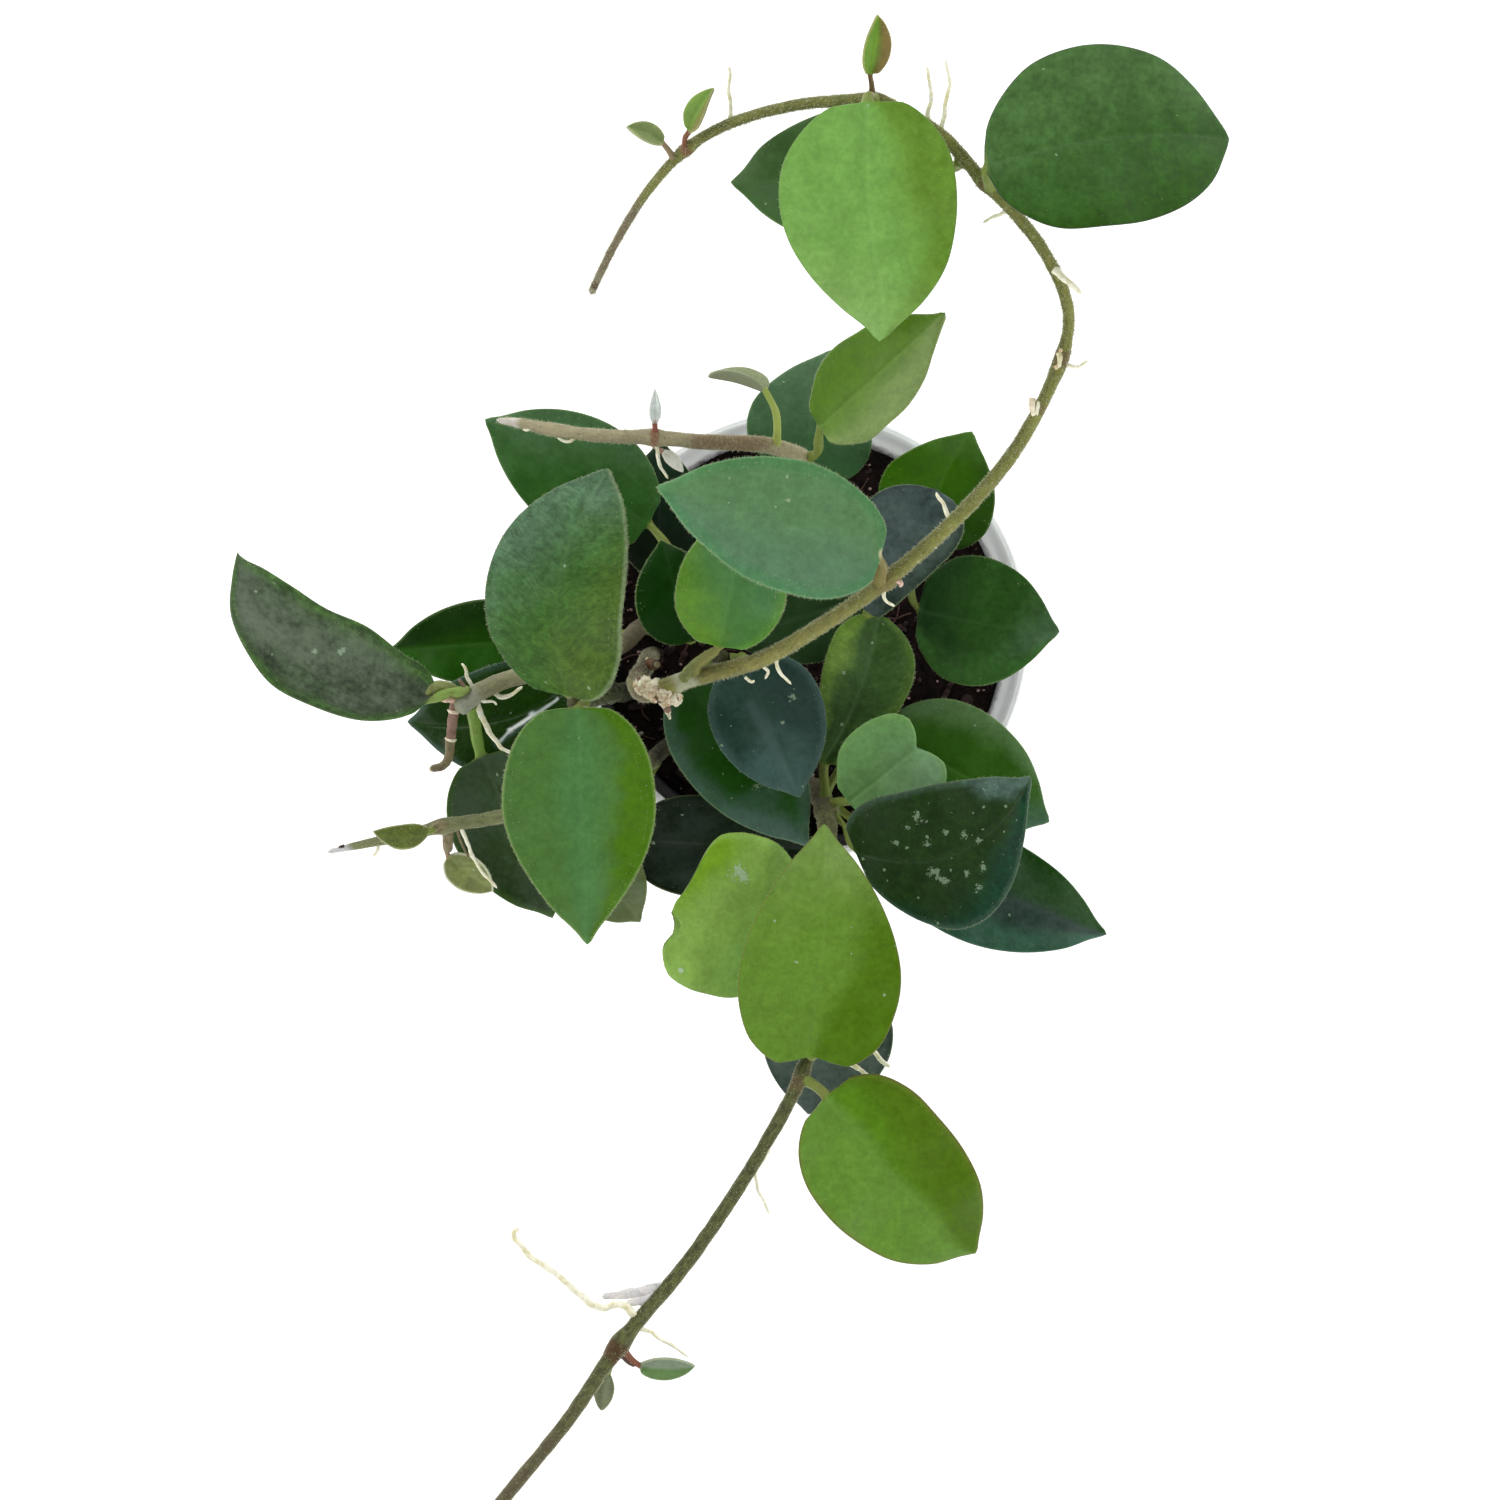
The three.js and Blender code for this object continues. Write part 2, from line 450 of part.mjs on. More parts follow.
const leaves = {
  // On the long loop
  loop_top_leaf: {
    stem: 'loop_vine', at: 17, base: [15.5, 130, 110], tip: [18.5, 71.5, 98], wide: 33.6,
    roll: 2, cup: 0.05, arch: 0.05, bend: 0.03, hook: -0.035, colour: colours.pale,
  },
  loop_side_leaf: {
    stem: 'loop_vine', at: 14, base: [44.5, 114.5, 108], tip: [104, 121, 100], wide: 35.3,
    outline: 'full', roll: -4, cup: 0.04, arch: 0.05, wave: 0.008, bend: -0.042, colour: colours.mid,
  },
  loop_under_leaf: {
    stem: 'loop_vine', at: 14.5, base: [35.5, 114, 92], tip: [-18, 110.5, 82], wide: 27.5,
    bend: -0.03, colour: colours.deep,
  },
  loop_young_leaf: {
    stem: 'loop_vine', at: 17.1, via: [17, 133, 104], base: [16.2, 137, 108], tip: [18, 151.5, 114],
    wide: 6.4, roll: 35, thick: 0.9, petiole: 0.6, fold: 0.2, colour: colours.mid,
  },
  loop_bud_leaf: {
    stem: 'loop_vine', at: 20.9, base: [-28, 123, 89], tip: [-22, 133.5, 95],
    wide: 5.6, roll: -30, thick: 0.9, petiole: 0.6, fold: 0.3, colour: colours.mid,
  },
  loop_end_leaf: {
    stem: 'loop_vine', at: 21.25, base: [-34.5, 120, 86], tip: [-43.5, 124, 88],
    wide: 5, roll: 25, thick: 0.9, petiole: 0.6, fold: 0.3, colour: colours.mid,
  },
  blue_leaf: {
    stem: 'loop_vine', at: 7, base: [18.5, 18.5, 68], tip: [-36, 36, 76], wide: 27.4,
    roll: 4, colour: colours.blue,
  },
  knee_leaf: {
    stem: 'loop_vine', at: 4.2, base: [-20.5, -3, 42], tip: [-14, 33, 52], wide: 24.4,
    roll: 6, colour: colours.mid,
  },
  // On the back vine
  back_pale_leaf: {
    stem: 'back_vine', at: 3, base: [4, 50.5, 50], tip: [34.5, 78.5, 66], wide: 22.2,
    roll: -20, bend: 0.03, colour: colours.pale,
  },
  back_folded_leaf: {
    stem: 'back_vine', at: 3.9, base: [-9.5, 59.5, 52], tip: [-23.5, 63, 46], wide: 9,
    pull: 0.2, roll: 70, thick: 1, petiole: 0.9, fold: 0.5, colour: colours.blue,
  },
  back_dark_leaf: {
    stem: 'back_vine', at: 1.4, base: [2, 38, 6], tip: [7, 69.5, 20], wide: 30,
    bend: -0.08, petiole: 1, colour: colours.dusk,
  },
  back_bud: {
    stem: 'back_vine', at: 6, base: [-36.5, 51.5, 46], tip: [-36.5, 60, 51], wide: 2.6,
    roll: 10, thick: 0.8, petiole: 0.55, fold: 0.2, wave: 0, colour: colours.blue,
  },
  back_bud_low: {
    stem: 'back_vine', at: 6, base: [-34.5, 44.5, 40], tip: [-29.5, 39.5, 38], wide: 3.2,
    roll: -20, thick: 0.8, petiole: 0.55, fold: 0.2, wave: 0, colour: colours.blue,
  },
  // On the low crown stems
  far_left_back_leaf: {
    stem: 'back_stem', at: 2.6, base: [-38, 27, 15], tip: [-78, 52.5, 23], wide: 27.5,
    bend: 0.015, colour: colours.deep,
  },
  back_inner_leaf: {
    stem: 'back_stem', at: 1.5, base: [-34.5, 14, 3], tip: [-35, 47.5, 8], wide: 21,
    colour: colours.dusk,
  },
  crown_shade_leaf: {
    stem: 'back_stem', at: 3, base: [-28, -2, 25], tip: [-35, 23, 28], wide: 19.6,
    colour: colours.deep,
  },
  right_inner_leaf: {
    stem: 'right_stem', at: 2.2, base: [16, 9.5, 11], tip: [-19, -1.5, 13], wide: 24,
    colour: colours.deep,
  },
  back_right_leaf: {
    stem: 'right_stem', at: 1.6, base: [30, 23, 6], tip: [41, 49.5, 22], wide: 28,
    bend: -0.06, colour: colours.deep,
  },
  slate_leaf: {
    stem: 'right_stem', at: 3, base: [16, 5, 27.5], tip: [34.5, 34, 33], wide: 22.5,
    outline: 'blunt', bend: -0.1, colour: colours.dusk,
  },
  right_leaf: {
    stem: 'right_stem', at: 1.9, base: [28, 6, 8], tip: [62.5, 0.5, 11], wide: 31,
    bend: 0.03, colour: colours.mid,
  },
  olive_leaf: {
    stem: 'front_vine', at: 1.8, base: [5, -31.5, 10], tip: [18.5, 4.5, 18], wide: 21.8,
    outline: 'blunt', roll: 8, bend: 0.05, colour: colours.mid,
  },
  sage_leaf: {
    stem: 'front_vine', at: 2, base: [11, -41, 19], tip: [30, -26, 26], wide: 24.5,
    outline: 'notched', colour: colours.blue,
  },
  right_low_leaf: {
    stem: 'front_vine', at: 1.5, base: [20, -24, 11], tip: [60, -46, 13], wide: 30.5,
    colour: colours.deep,
  },
  speckled_leaf: {
    stem: 'front_vine', at: 2.2, base: [12.6, -53, 23], tip: [55.5, -35, 37], wide: 34.2,
    bend: 0.2, colour: colours.deep,
  },
  right_front_leaf: {
    stem: 'front_vine', at: 1.25, base: [22, -52, 3], tip: [74, -73.5, 3], wide: 27,
    bend: 0.02, petiole: 1, colour: colours.dusk,
  },
  slate_drop_leaf: {
    stem: 'middle_stem', at: 3, base: [-14.5, -6, 22], tip: [-1, -40, 19], wide: 26.8,
    colour: colours.dusk,
  },
  bright_deep_leaf: {
    stem: 'middle_stem', at: 1.8, base: [-29.1, -11.8, 8], tip: [1, -51.8, 12], wide: 27.5,
    roll: -4, colour: colours.deep,
  },
  black_leaf: {
    stem: 'low_vine', at: 1.5, base: [-41.5, -51, 5.5], tip: [4, -53, 4], wide: 24.5,
    outline: 'broad', colour: colours.dusk,
  },
  left_under_leaf: {
    stem: 'left_stem', at: 1.5, base: [-62.5, -1, 4], tip: [-101.5, -4, 8], wide: 20.5,
    petiole: 1, colour: colours.deep,
  },
  left_gloss_leaf: {
    stem: 'left_stem', at: 2.4, base: [-58, -14, 14], tip: [-97, -21.5, 14], wide: 26,
    bend: -0.1, colour: colours.dusk,
  },
  // On the left stem and the tall crown stem
  tall_left_leaf: {
    stem: 'crown_stem', at: 4, base: [-58, -15, 50], tip: [-48, 40.5, 62], wide: 30,
    outline: 'broad', bend: -0.118, colour: colours.mid,
  },
  low_left_leaf: {
    stem: 'crown_stem', at: 3.9, base: [-55.5, -18, 50], tip: [-53, -76, 44], wide: 33.4,
    outline: 'egg', colour: colours.mid,
  },
  far_left_leaf: {
    stem: 'left_stem', at: 7, base: [-92, -16, 38], tip: [-138.5, 20, 54], wide: 23.8,
    outline: 'full', roll: 36, bend: -0.18, hook: -0.07, petiole: 1.5, colour: colours.dusk,
  },
  left_hanging_leaf: {
    stem: 'left_stem', at: 6.8, base: [-79, -30, 20], tip: [-61.5, -69.5, 14], wide: 27,
    petiole: 1.4, colour: colours.deep,
  },
  // On the low vine
  low_under_leaf: {
    stem: 'low_vine', at: 3, base: [-56, -50, 12], tip: [-40, -70.5, 4], wide: 19,
    colour: colours.deep,
  },
  low_rimmed_leaf: {
    stem: 'low_vine', at: 6, base: [-87, -54.5, 28.5], tip: [-76, -63, 23], wide: 9,
    roll: 15, thick: 0.9, petiole: 0.7, colour: colours.blue,
  },
  low_end_leaf: {
    stem: 'low_vine', at: 6.2, base: [-92, -48.3, 39.5], tip: [-105.5, -48.3, 41.5], wide: 5.8,
    roll: 12, bend: -0.12, thick: 0.9, petiole: 0.7, colour: colours.mid,
  },
  // On the front vine
  front_back_leaf: {
    stem: 'front_vine', at: 3.4, base: [-1, -72.4, 36], tip: [-32, -64.8, 42], wide: 37,
    outline: 'square', trail: 0.14, colour: colours.pale,
  },
  front_pale_leaf: {
    stem: 'front_vine', at: 5.6, base: [2, -103.5, 50], tip: [5, -46.5, 46], wide: 35.3,
    outline: 'heart', bend: 0.012, colour: colours.pale,
  },
  front_under_leaf: {
    stem: 'front_vine', at: 4.2, base: [9, -84, 27], tip: [1, -117.5, 18], wide: 30,
    colour: colours.dusk,
  },
  front_low_leaf: {
    stem: 'front_vine', at: 6.1, base: [5.5, -113, 48], tip: [42, -151.5, 44], wide: 32.5,
    outline: 'broad', bend: 0.026, colour: colours.pale,
  },
  front_bud_leaf: {
    stem: 'front_vine', at: 9, base: [-40, -179, 76], tip: [-26.5, -179, 74], wide: 6.5,
    roll: 30, thick: 0.9, petiole: 0.7, colour: colours.blue,
  },
  front_end_bud: {
    stem: 'front_vine', at: 9.1, base: [-48, -181, 75], tip: [-49.5, -190, 74], wide: 4.5,
    roll: 20, thick: 0.9, petiole: 0.6, colour: colours.blue,
  },
};

function turned(profile, sides) {
  const rings = [];
  for (let k = 0; k < sides; k += 1) {
    const turn = (2 * Math.PI * k) / sides;
    rings.push(profile.map(([r, z]) => new Vector3(Math.cos(turn) * r, Math.sin(turn) * r, z)));
  }
  const points = [];
  const faces = [];
  const count = profile.length;
  for (const ring of rings) for (const point of ring) points.push(point.x, point.y, point.z);
  for (let s = 0; s < sides; s += 1) {
    for (let k = 0; k < count - 1; k += 1) {
      const a = s * count + k;
      const b = ((s + 1) % sides) * count + k;
      if (profile[k][0] > 0) faces.push(a, b, a + 1);
      if (profile[k + 1][0] > 0) faces.push(b, b + 1, a + 1);
    }
  }
  const geometry = new THREE.BufferGeometry();
  geometry.setAttribute('position', new THREE.Float32BufferAttribute(points, 3));
  geometry.setIndex(faces);
  return geometry;
}

function innerRadius(z) {
  const share = z / (rimHeight - rimBandHeight);
  return Math.min(shoulderRadius, baseRadius + (shoulderRadius - baseRadius) * share) - potWall;
}

function makePot() {
  const shoulder = rimHeight - rimBandHeight;
  const profile = [
    [0, 0], [baseRadius - 1, 0], [baseRadius, 1],
    [shoulderRadius, shoulder - 1], [rimRadius - 1.4, shoulder], [rimRadius - 0.6, rimHeight - 1.6],
    [rimRadius, rimHeight - 1.2], [rimRadius, rimHeight], [rimRadius - 2.2, rimHeight],
    [rimRadius - 2.8, shoulder + 1.4], [innerRadius(shoulder), shoulder - 0.4],
    [innerRadius(4.5), 4.5], [innerRadius(4.5) - 2, 2.8], [0, 2.8],
  ];
  let solid = toSolid(turned(profile, potSides));
  for (let i = 0; i < drainHoles; i += 1) {
    const turn = (2 * Math.PI * (i + 0.5)) / drainHoles;
    const drill = new THREE.CylinderGeometry(drainHoleRadius, drainHoleRadius, 10, drainSides);
    drill.deleteAttribute('normal');
    drill.deleteAttribute('uv');
    drill.rotateX(Math.PI / 2);
    drill.translate(Math.cos(turn) * drainCircle, Math.sin(turn) * drainCircle, 2);
    solid = solid.subtract(toSolid(drill));
  }
  return solid;
}

// Soil: a lumpy filling with a plain hole round each stem.
function makeSoil() {
  const sides = 26;
  const bottom = 2.8 + clearance;
  const topRings = [0.22, 0.42, 0.6, 0.76, 0.9, 1];
  const points = [new Vector3(0, 0, soilLevel)];
  const faces = [];
  const edge = innerRadius(soilLevel) * Math.cos(Math.PI / potSides) - clearance - 0.1;
  for (const share of topRings) {
    for (let k = 0; k < sides; k += 1) {
      const turn = (2 * Math.PI * k) / sides;
      const lump = share === 1 ? -0.8 : (random() - 0.5) * 2 * soilRelief;
      points.push(new Vector3(
        Math.cos(turn) * edge * share,
        Math.sin(turn) * edge * share,
        soilLevel + lump,
      ));
    }
  }
  const lower = innerRadius(6) * Math.cos(Math.PI / potSides) - clearance - 0.1;
  for (const [radius, z] of [[lower, 6], [lower - 3, bottom]]) {
    for (let k = 0; k < sides; k += 1) {
      const turn = (2 * Math.PI * k) / sides;
      points.push(new Vector3(Math.cos(turn) * radius, Math.sin(turn) * radius, z));
    }
  }
  points.push(new Vector3(0, 0, bottom));
  for (let k = 0; k < sides; k += 1) {
    const next = (k + 1) % sides;
    faces.push(0, 1 + k, 1 + next);
    for (let r = 0; r < topRings.length + 1; r += 1) {
      const a = 1 + r * sides + k;
      const b = 1 + r * sides + next;
      faces.push(a, a + sides, b, b, a + sides, b + sides);
    }
    const rim = 1 + (topRings.length + 1) * sides;
    faces.push(points.length - 1, rim + next, rim + k);
  }
  const geometry = new THREE.BufferGeometry();
  geometry.setAttribute('position', new THREE.Float32BufferAttribute(
    points.flatMap((point) => [point.x, point.y, point.z]), 3,
  ));
  geometry.setIndex(faces);
  let solid = toSolid(geometry);
  for (const stem of Object.values(stemRuns)) {
    const centres = [];
    const radii = [];
    const last = stem.run.length - 1;
    const sunk = stem.curve.getPoint(0);
    centres.push(sunk.clone().add(new Vector3(0, 0, -clearance)));
    radii.push(radiusAt(stem, 0) + clearance + 0.25);
    for (const at of [1, 1.5, 2]) {
      centres.push(stem.curve.getPoint(at / last));
      radii.push(radiusAt(stem, at) + clearance + 0.25);
    }
    solid = solid.subtract(toSolid(tube(centres, radii, 8)));
  }
  const pieces = solid.decompose().sort((a, b) => b.volume() - a.volume());
  return pieces[0];
}

function node(name, geometry, colour) {
  const shape = geometry.index ? geometry.toNonIndexed() : geometry;
  shape.computeVertexNormals();
  const mesh = new THREE.Mesh(shape, new THREE.MeshStandardMaterial({
    color: colour,
    roughness: 0.5,
    side: THREE.DoubleSide,
  }));
  mesh.name = name;
  return mesh;
}

prepareStems();
const plant = new THREE.Group();
plant.name = 'potted_hoya_chouke';
plant.add(node('pot', toGeometry(makePot()), colours.pot));
plant.add(node('soil', toGeometry(makeSoil()), colours.soil));
for (const [name, stem] of Object.entries(stemRuns)) {
  plant.add(node(name, toGeometry(makeStem(stem)), stem.colour));
}
for (const [name, spec] of Object.entries(leaves)) {
  plant.add(node(name, makeLeaf(spec), spec.colour));
}

export default plant;
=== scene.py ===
# Potted hoya chouke: fine leaves, vines, roots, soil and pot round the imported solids.
import json
import math
import random
from functools import partialmethod

import bpy
import numpy as np
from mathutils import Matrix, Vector, noise


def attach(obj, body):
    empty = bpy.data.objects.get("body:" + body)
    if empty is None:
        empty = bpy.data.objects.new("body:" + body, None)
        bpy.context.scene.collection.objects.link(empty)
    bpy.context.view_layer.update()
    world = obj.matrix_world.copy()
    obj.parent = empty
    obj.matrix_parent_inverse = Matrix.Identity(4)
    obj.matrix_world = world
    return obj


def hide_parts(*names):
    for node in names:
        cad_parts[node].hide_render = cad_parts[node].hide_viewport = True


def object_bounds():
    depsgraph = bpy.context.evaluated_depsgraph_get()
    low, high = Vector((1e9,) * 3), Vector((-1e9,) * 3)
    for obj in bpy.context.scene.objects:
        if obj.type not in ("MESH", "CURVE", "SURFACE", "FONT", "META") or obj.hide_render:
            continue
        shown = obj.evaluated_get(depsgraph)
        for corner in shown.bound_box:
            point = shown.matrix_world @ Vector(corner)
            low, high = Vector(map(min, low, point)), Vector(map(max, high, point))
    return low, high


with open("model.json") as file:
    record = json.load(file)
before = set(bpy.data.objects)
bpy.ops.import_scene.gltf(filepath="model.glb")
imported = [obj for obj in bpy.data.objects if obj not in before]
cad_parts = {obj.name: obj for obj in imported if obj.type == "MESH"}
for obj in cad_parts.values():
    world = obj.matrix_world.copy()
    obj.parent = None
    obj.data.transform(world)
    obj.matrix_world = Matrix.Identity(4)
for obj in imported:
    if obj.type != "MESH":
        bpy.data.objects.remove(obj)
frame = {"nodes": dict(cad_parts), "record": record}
solidBox = [list(corner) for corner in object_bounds()]

mm = 0.001
noise.seed_set(7)    # roots are crooked in the same way each time
slotOf = {part["node"]: part["material_slot"] for part in frame["record"]["subparts"]}

# Plan places are read at the level of the rim, from a point over the plant, in millimetres
sight = {
    "x": -13.2, "y": -28.4, "overRim": 480.0, "rim": 95.0,
    "pixels": 1500, "pixelsPerMm": 4.09, "sensor": 36,
}


def placeOf(x, y, up):
    share = up / sight["overRim"]
    return (x + (sight["x"] - x) * share, y + (sight["y"] - y) * share, sight["rim"] + up)


def pieceName(node):
    first, *rest = node.split("_")
    return first + "".join(word.capitalize() for word in rest)


def display(colour):
    # A colour as the eye reads it on a screen, turned into light
    parts = [c / 255 for c in colour]
    return tuple(c / 12.92 if c < 0.04 else ((c + 0.055) / 1.055) ** 2.4 for c in parts) + (1.0,)


def lengths(vectors):
    return np.linalg.norm(vectors, axis=-1, keepdims=True)


def unit(vectors):
    return vectors / np.maximum(lengths(vectors), 1e-9)


def alongCurve(points, at):
    # A smooth curve through points, counted along the first axis. at may differ by column
    points = np.asarray(points, float)
    at = np.asarray(at, float)
    last = len(points) - 1
    wide = np.concatenate([2 * points[:1] - points[1:2], points, 2 * points[-1:] - points[-2:-1]])
    at = np.clip(at, 0, last)
    low = np.minimum(at.astype(int), last - 1)
    t = at - low
    if at.ndim == 2:
        columns = np.arange(at.shape[1])
        p0, p1, p2, p3 = (wide[low + i, columns] for i in range(4))
        t = t[..., None]
    else:
        p0, p1, p2, p3 = (wide[low + i] for i in range(4))
        t = t.reshape((-1,) + (1,) * (points.ndim - 1))
    d0, d1, d2 = (np.maximum(np.sqrt(lengths(b - a)), 1e-6) for a, b in ((p0, p1), (p1, p2), (p2, p3)))
    pull1 = ((p1 - p0) / d0 - (p2 - p0) / (d0 + d1) + (p2 - p1) / d1) * d1
    pull2 = ((p2 - p1) / d1 - (p3 - p1) / (d1 + d2) + (p3 - p2) / d2) * d1
    bend2 = 3 * (p2 - p1) - 2 * pull1 - pull2
    bend3 = 2 * (p1 - p2) + pull1 + pull2
    return p1 + pull1 * t + bend2 * t ** 2 + bend3 * t ** 3


class Heap:
    # Points and faces of one piece, with the material and the place of each
    def __init__(self):
        self.points, self.faces, self.looks, self.places = [], [], [], []

    def add(self, points, faces, look=0, places=None):
        start = sum(len(p) for p in self.points)
        points = np.asarray(points, float)
        self.points.append(points)
        self.faces.extend(tuple(start + i for i in face) for face in faces)
        self.looks.extend([look] * len(faces))
        self.places.append(np.zeros((len(points), 4)) if places is None else np.asarray(places, float))

    def piece(self, name, materials, slotName, nodes=()):
        mesh = bpy.data.meshes.new(name)
        inside = np.clip(np.concatenate(self.points), *solidBox)
        mesh.from_pydata(inside.tolist(), [], self.faces)
        for material in materials:
            mesh.materials.append(material)
        mesh.polygons.foreach_set("material_index", self.looks)
        mesh.polygons.foreach_set("use_smooth", [True] * len(self.faces))
        places = np.concatenate(self.places)
        spot = mesh.attributes.new("spot", "FLOAT_VECTOR", "POINT")
        spot.data.foreach_set("vector", places[:, :3].ravel())
        side = mesh.attributes.new("under", "FLOAT", "POINT")
        side.data.foreach_set("value", places[:, 3].ravel())
        mesh.update()
        made = bpy.data.objects.new(name, mesh)
        bpy.context.scene.collection.objects.link(made)
        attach(made, "root")
        if nodes:
            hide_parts(*nodes)
        return made


def ringFaces(rings, count, closeStart=True, closeEnd=True):
    faces = []
    for r in range(rings - 1):
        for k in range(count):
            a, b = r * count + k, r * count + (k + 1) % count
            faces.append((a, b, b + count, a + count))
    if closeStart:
        faces.append(tuple(range(count - 1, -1, -1)))
    if closeEnd:
        faces.append(tuple(range((rings - 1) * count, rings * count)))
    return faces


def circle(sides, radius, z, x=0.0, y=0.0):
    turns = [2 * math.pi * k / sides for k in range(sides)]
    return [(x + math.cos(turn) * radius, y + math.sin(turn) * radius, z) for turn in turns]


def addSpikes(heap, roots, ways, reach, thick, look):
    # Closed three-sided hairs, each from its root along its way
    roots, ways = np.asarray(roots, float), unit(np.asarray(ways, float))
    reach = np.asarray(reach, float)[:, None]
    helper = np.where(np.abs(ways[:, 2:3]) > 0.8, [[1.0, 0, 0]], [[0, 0, 1.0]])
    across = unit(np.cross(ways, helper))
    third = np.cross(ways, across)
    corners = []
    for turn in (0, 2.094, 4.189):    # thirds of a turn
        corners.append(roots + thick * (math.cos(turn) * across + math.sin(turn) * third))
    points = np.stack([*corners, roots + ways * reach], axis=1).reshape(-1, 3)
    faces = []
    for i in range(len(roots)):
        a = i * 4
        faces += [(a, a + 1, a + 3), (a + 1, a + 2, a + 3), (a + 2, a, a + 3), (a, a + 2, a + 1)]
    heap.add(points, faces, look)


def addLump(heap, centre, sizes, look, rng, rough=0.35, rows=6, sides=9):
    # A small crooked crumb: a closed round form squashed, turned and dented
    turned = [rng.uniform(0, math.pi) for i in range(3)][0]
    cosine, sine = math.cos(turned), math.sin(turned)
    spin = np.array([[cosine, -sine, 0], [sine, cosine, 0], [0, 0, 1]])
    lean = rng.uniform(-0.5, 0.5)
    cosine, sine = math.cos(lean), math.sin(lean)
    spin = spin @ np.array([[cosine, 0, sine], [0, 1, 0], [-sine, 0, cosine]])
    seed = Vector((rng.uniform(0, 90), rng.uniform(0, 90), rng.uniform(0, 90)))
    points = []
    for r in range(rows + 1):
        high = math.pi * (0.06 + 0.88 * r / rows)
        for k in range(sides):
            turn = 2 * math.pi * k / sides
            way = Vector((math.sin(high) * math.cos(turn), math.sin(high) * math.sin(turn), -math.cos(high)))
            square = 1 / max(abs(way.x), abs(way.y), abs(way.z)) ** 0.6
            size = square * (1 + rough * noise.noise(way * 1.7 + seed))
            points.append((np.array(centre) + spin @ (np.array(way) * np.array(sizes) * size)) * mm)
    heap.add(points, ringFaces(rows + 1, sides), look)


class Nodes:
    # The few steps that a procedural look is built from. A colour of three parts is as seen
    def __init__(self, tree, coordinates="Object"):
        self.tree = tree
        self.where = self.put("TexCoord", {}).outputs[coordinates]

    def join(self, value, socket):
        if isinstance(value, bpy.types.NodeSocket):
            self.tree.links.new(value, socket)
        else:
            socket.default_value = value

    def put(self, kind, inputs, **settings):
        made = self.tree.nodes.new("ShaderNode" + kind)
        for key, value in settings.items():
            setattr(made, key, value)
        for key, value in inputs.items():
            self.join(value, made.inputs[key])
        return made

    def split(self, vector):
        return self.put("SeparateXYZ", {"Vector": vector}).outputs

    def maths(self, operation, *values):
        return self.put("Math", dict(enumerate(values)), operation=operation).outputs[0]

    times = partialmethod(maths, "MULTIPLY")
    plus = partialmethod(maths, "ADD")
    minus = partialmethod(maths, "SUBTRACT")
    timesPlus = partialmethod(maths, "MULTIPLY_ADD")
    greatest = partialmethod(maths, "MAXIMUM")
    size = partialmethod(maths, "ABSOLUTE")

    def stray(self, value, grain, reach):
        # A value moved up or down by a grain
        return self.timesPlus(self.minus(grain, 0.5), reach, value)

    def apart(self, dx, dy):
        return self.maths("SQRT", self.timesPlus(dx, dx, self.times(dy, dy)))

    def towards(self, vector, way):
        return self.put("VectorMath", {0: vector, 1: way}, operation="DOT_PRODUCT").outputs["Value"]

    def ramp(self, value, low, high, toLow=0.0, toHigh=1.0):
        inputs = {"Value": value, "From Min": low, "From Max": high, "To Min": toLow, "To Max": toHigh}
        return self.put("MapRange", inputs, interpolation_type="SMOOTHSTEP").outputs[0]

    def mix(self, share, *colours):
        first, second = (display(c) if isinstance(c, (tuple, list)) and len(c) == 3 else c for c in colours)
        return self.put("Mix", {0: share, 6: first, 7: second}, data_type="RGBA").outputs[2]

    def lighter(self, colour, value):
        return self.put("HueSaturation", {"Color": colour, "Value": value}).outputs[0]

    def grain(self, scale, detail=3.0, rough=0.55, stretch=None, seed=0.0, where=None):
        where = self.where if where is None else where
        if stretch or seed:
            inputs = {"Vector": where, "Scale": stretch or (1, 1, 1), "Location": (seed, seed * 0.37, -seed)}
            where = self.put("Mapping", inputs).outputs[0]
        inputs = {"Vector": where, "Scale": scale, "Detail": detail, "Roughness": rough}
        return self.put("TexNoise", inputs).outputs["Fac"]


class Skin(Nodes):
    # A material of one principled shader
    def __init__(self, name):
        self.material = bpy.data.materials.new(name)
        self.material.use_nodes = True
        tree = self.material.node_tree
        tree.nodes.clear()
        output = tree.nodes.new("ShaderNodeOutputMaterial")
        self.shader = tree.nodes.new("ShaderNodeBsdfPrincipled")
        tree.links.new(self.shader.outputs["BSDF"], output.inputs["Surface"])
        super().__init__(tree)

    def spot(self):
        # Where a point lies on its leaf or stem
        return self.put("Attribute", {}, attribute_name="spot").outputs["Vector"]

    def relief(self, height, strength, distance):
        inputs = {"Strength": strength, "Distance": distance * mm, "Height": height}
        self.join(self.put("Bump", inputs).outputs[0], self.shader.inputs["Normal"])

    def finish(self, values):
        for name, value in values.items():
            self.join(value, self.shader.inputs[name])
        return self.material


# Camera: straight down on the plant from half a metre
print("camera")
cameraData = bpy.data.cameras.new("overhead")
cameraData.sensor_width = sight["sensor"]
cameraData.lens = sight["sensor"] * sight["overRim"] / (sight["pixels"] / sight["pixelsPerMm"])
camera = bpy.data.objects.new("overhead", cameraData)
camera.location = (sight["x"] * mm, sight["y"] * mm, (sight["rim"] + sight["overRim"]) * mm)
bpy.context.scene.collection.objects.link(camera)
bpy.context.scene.camera = camera

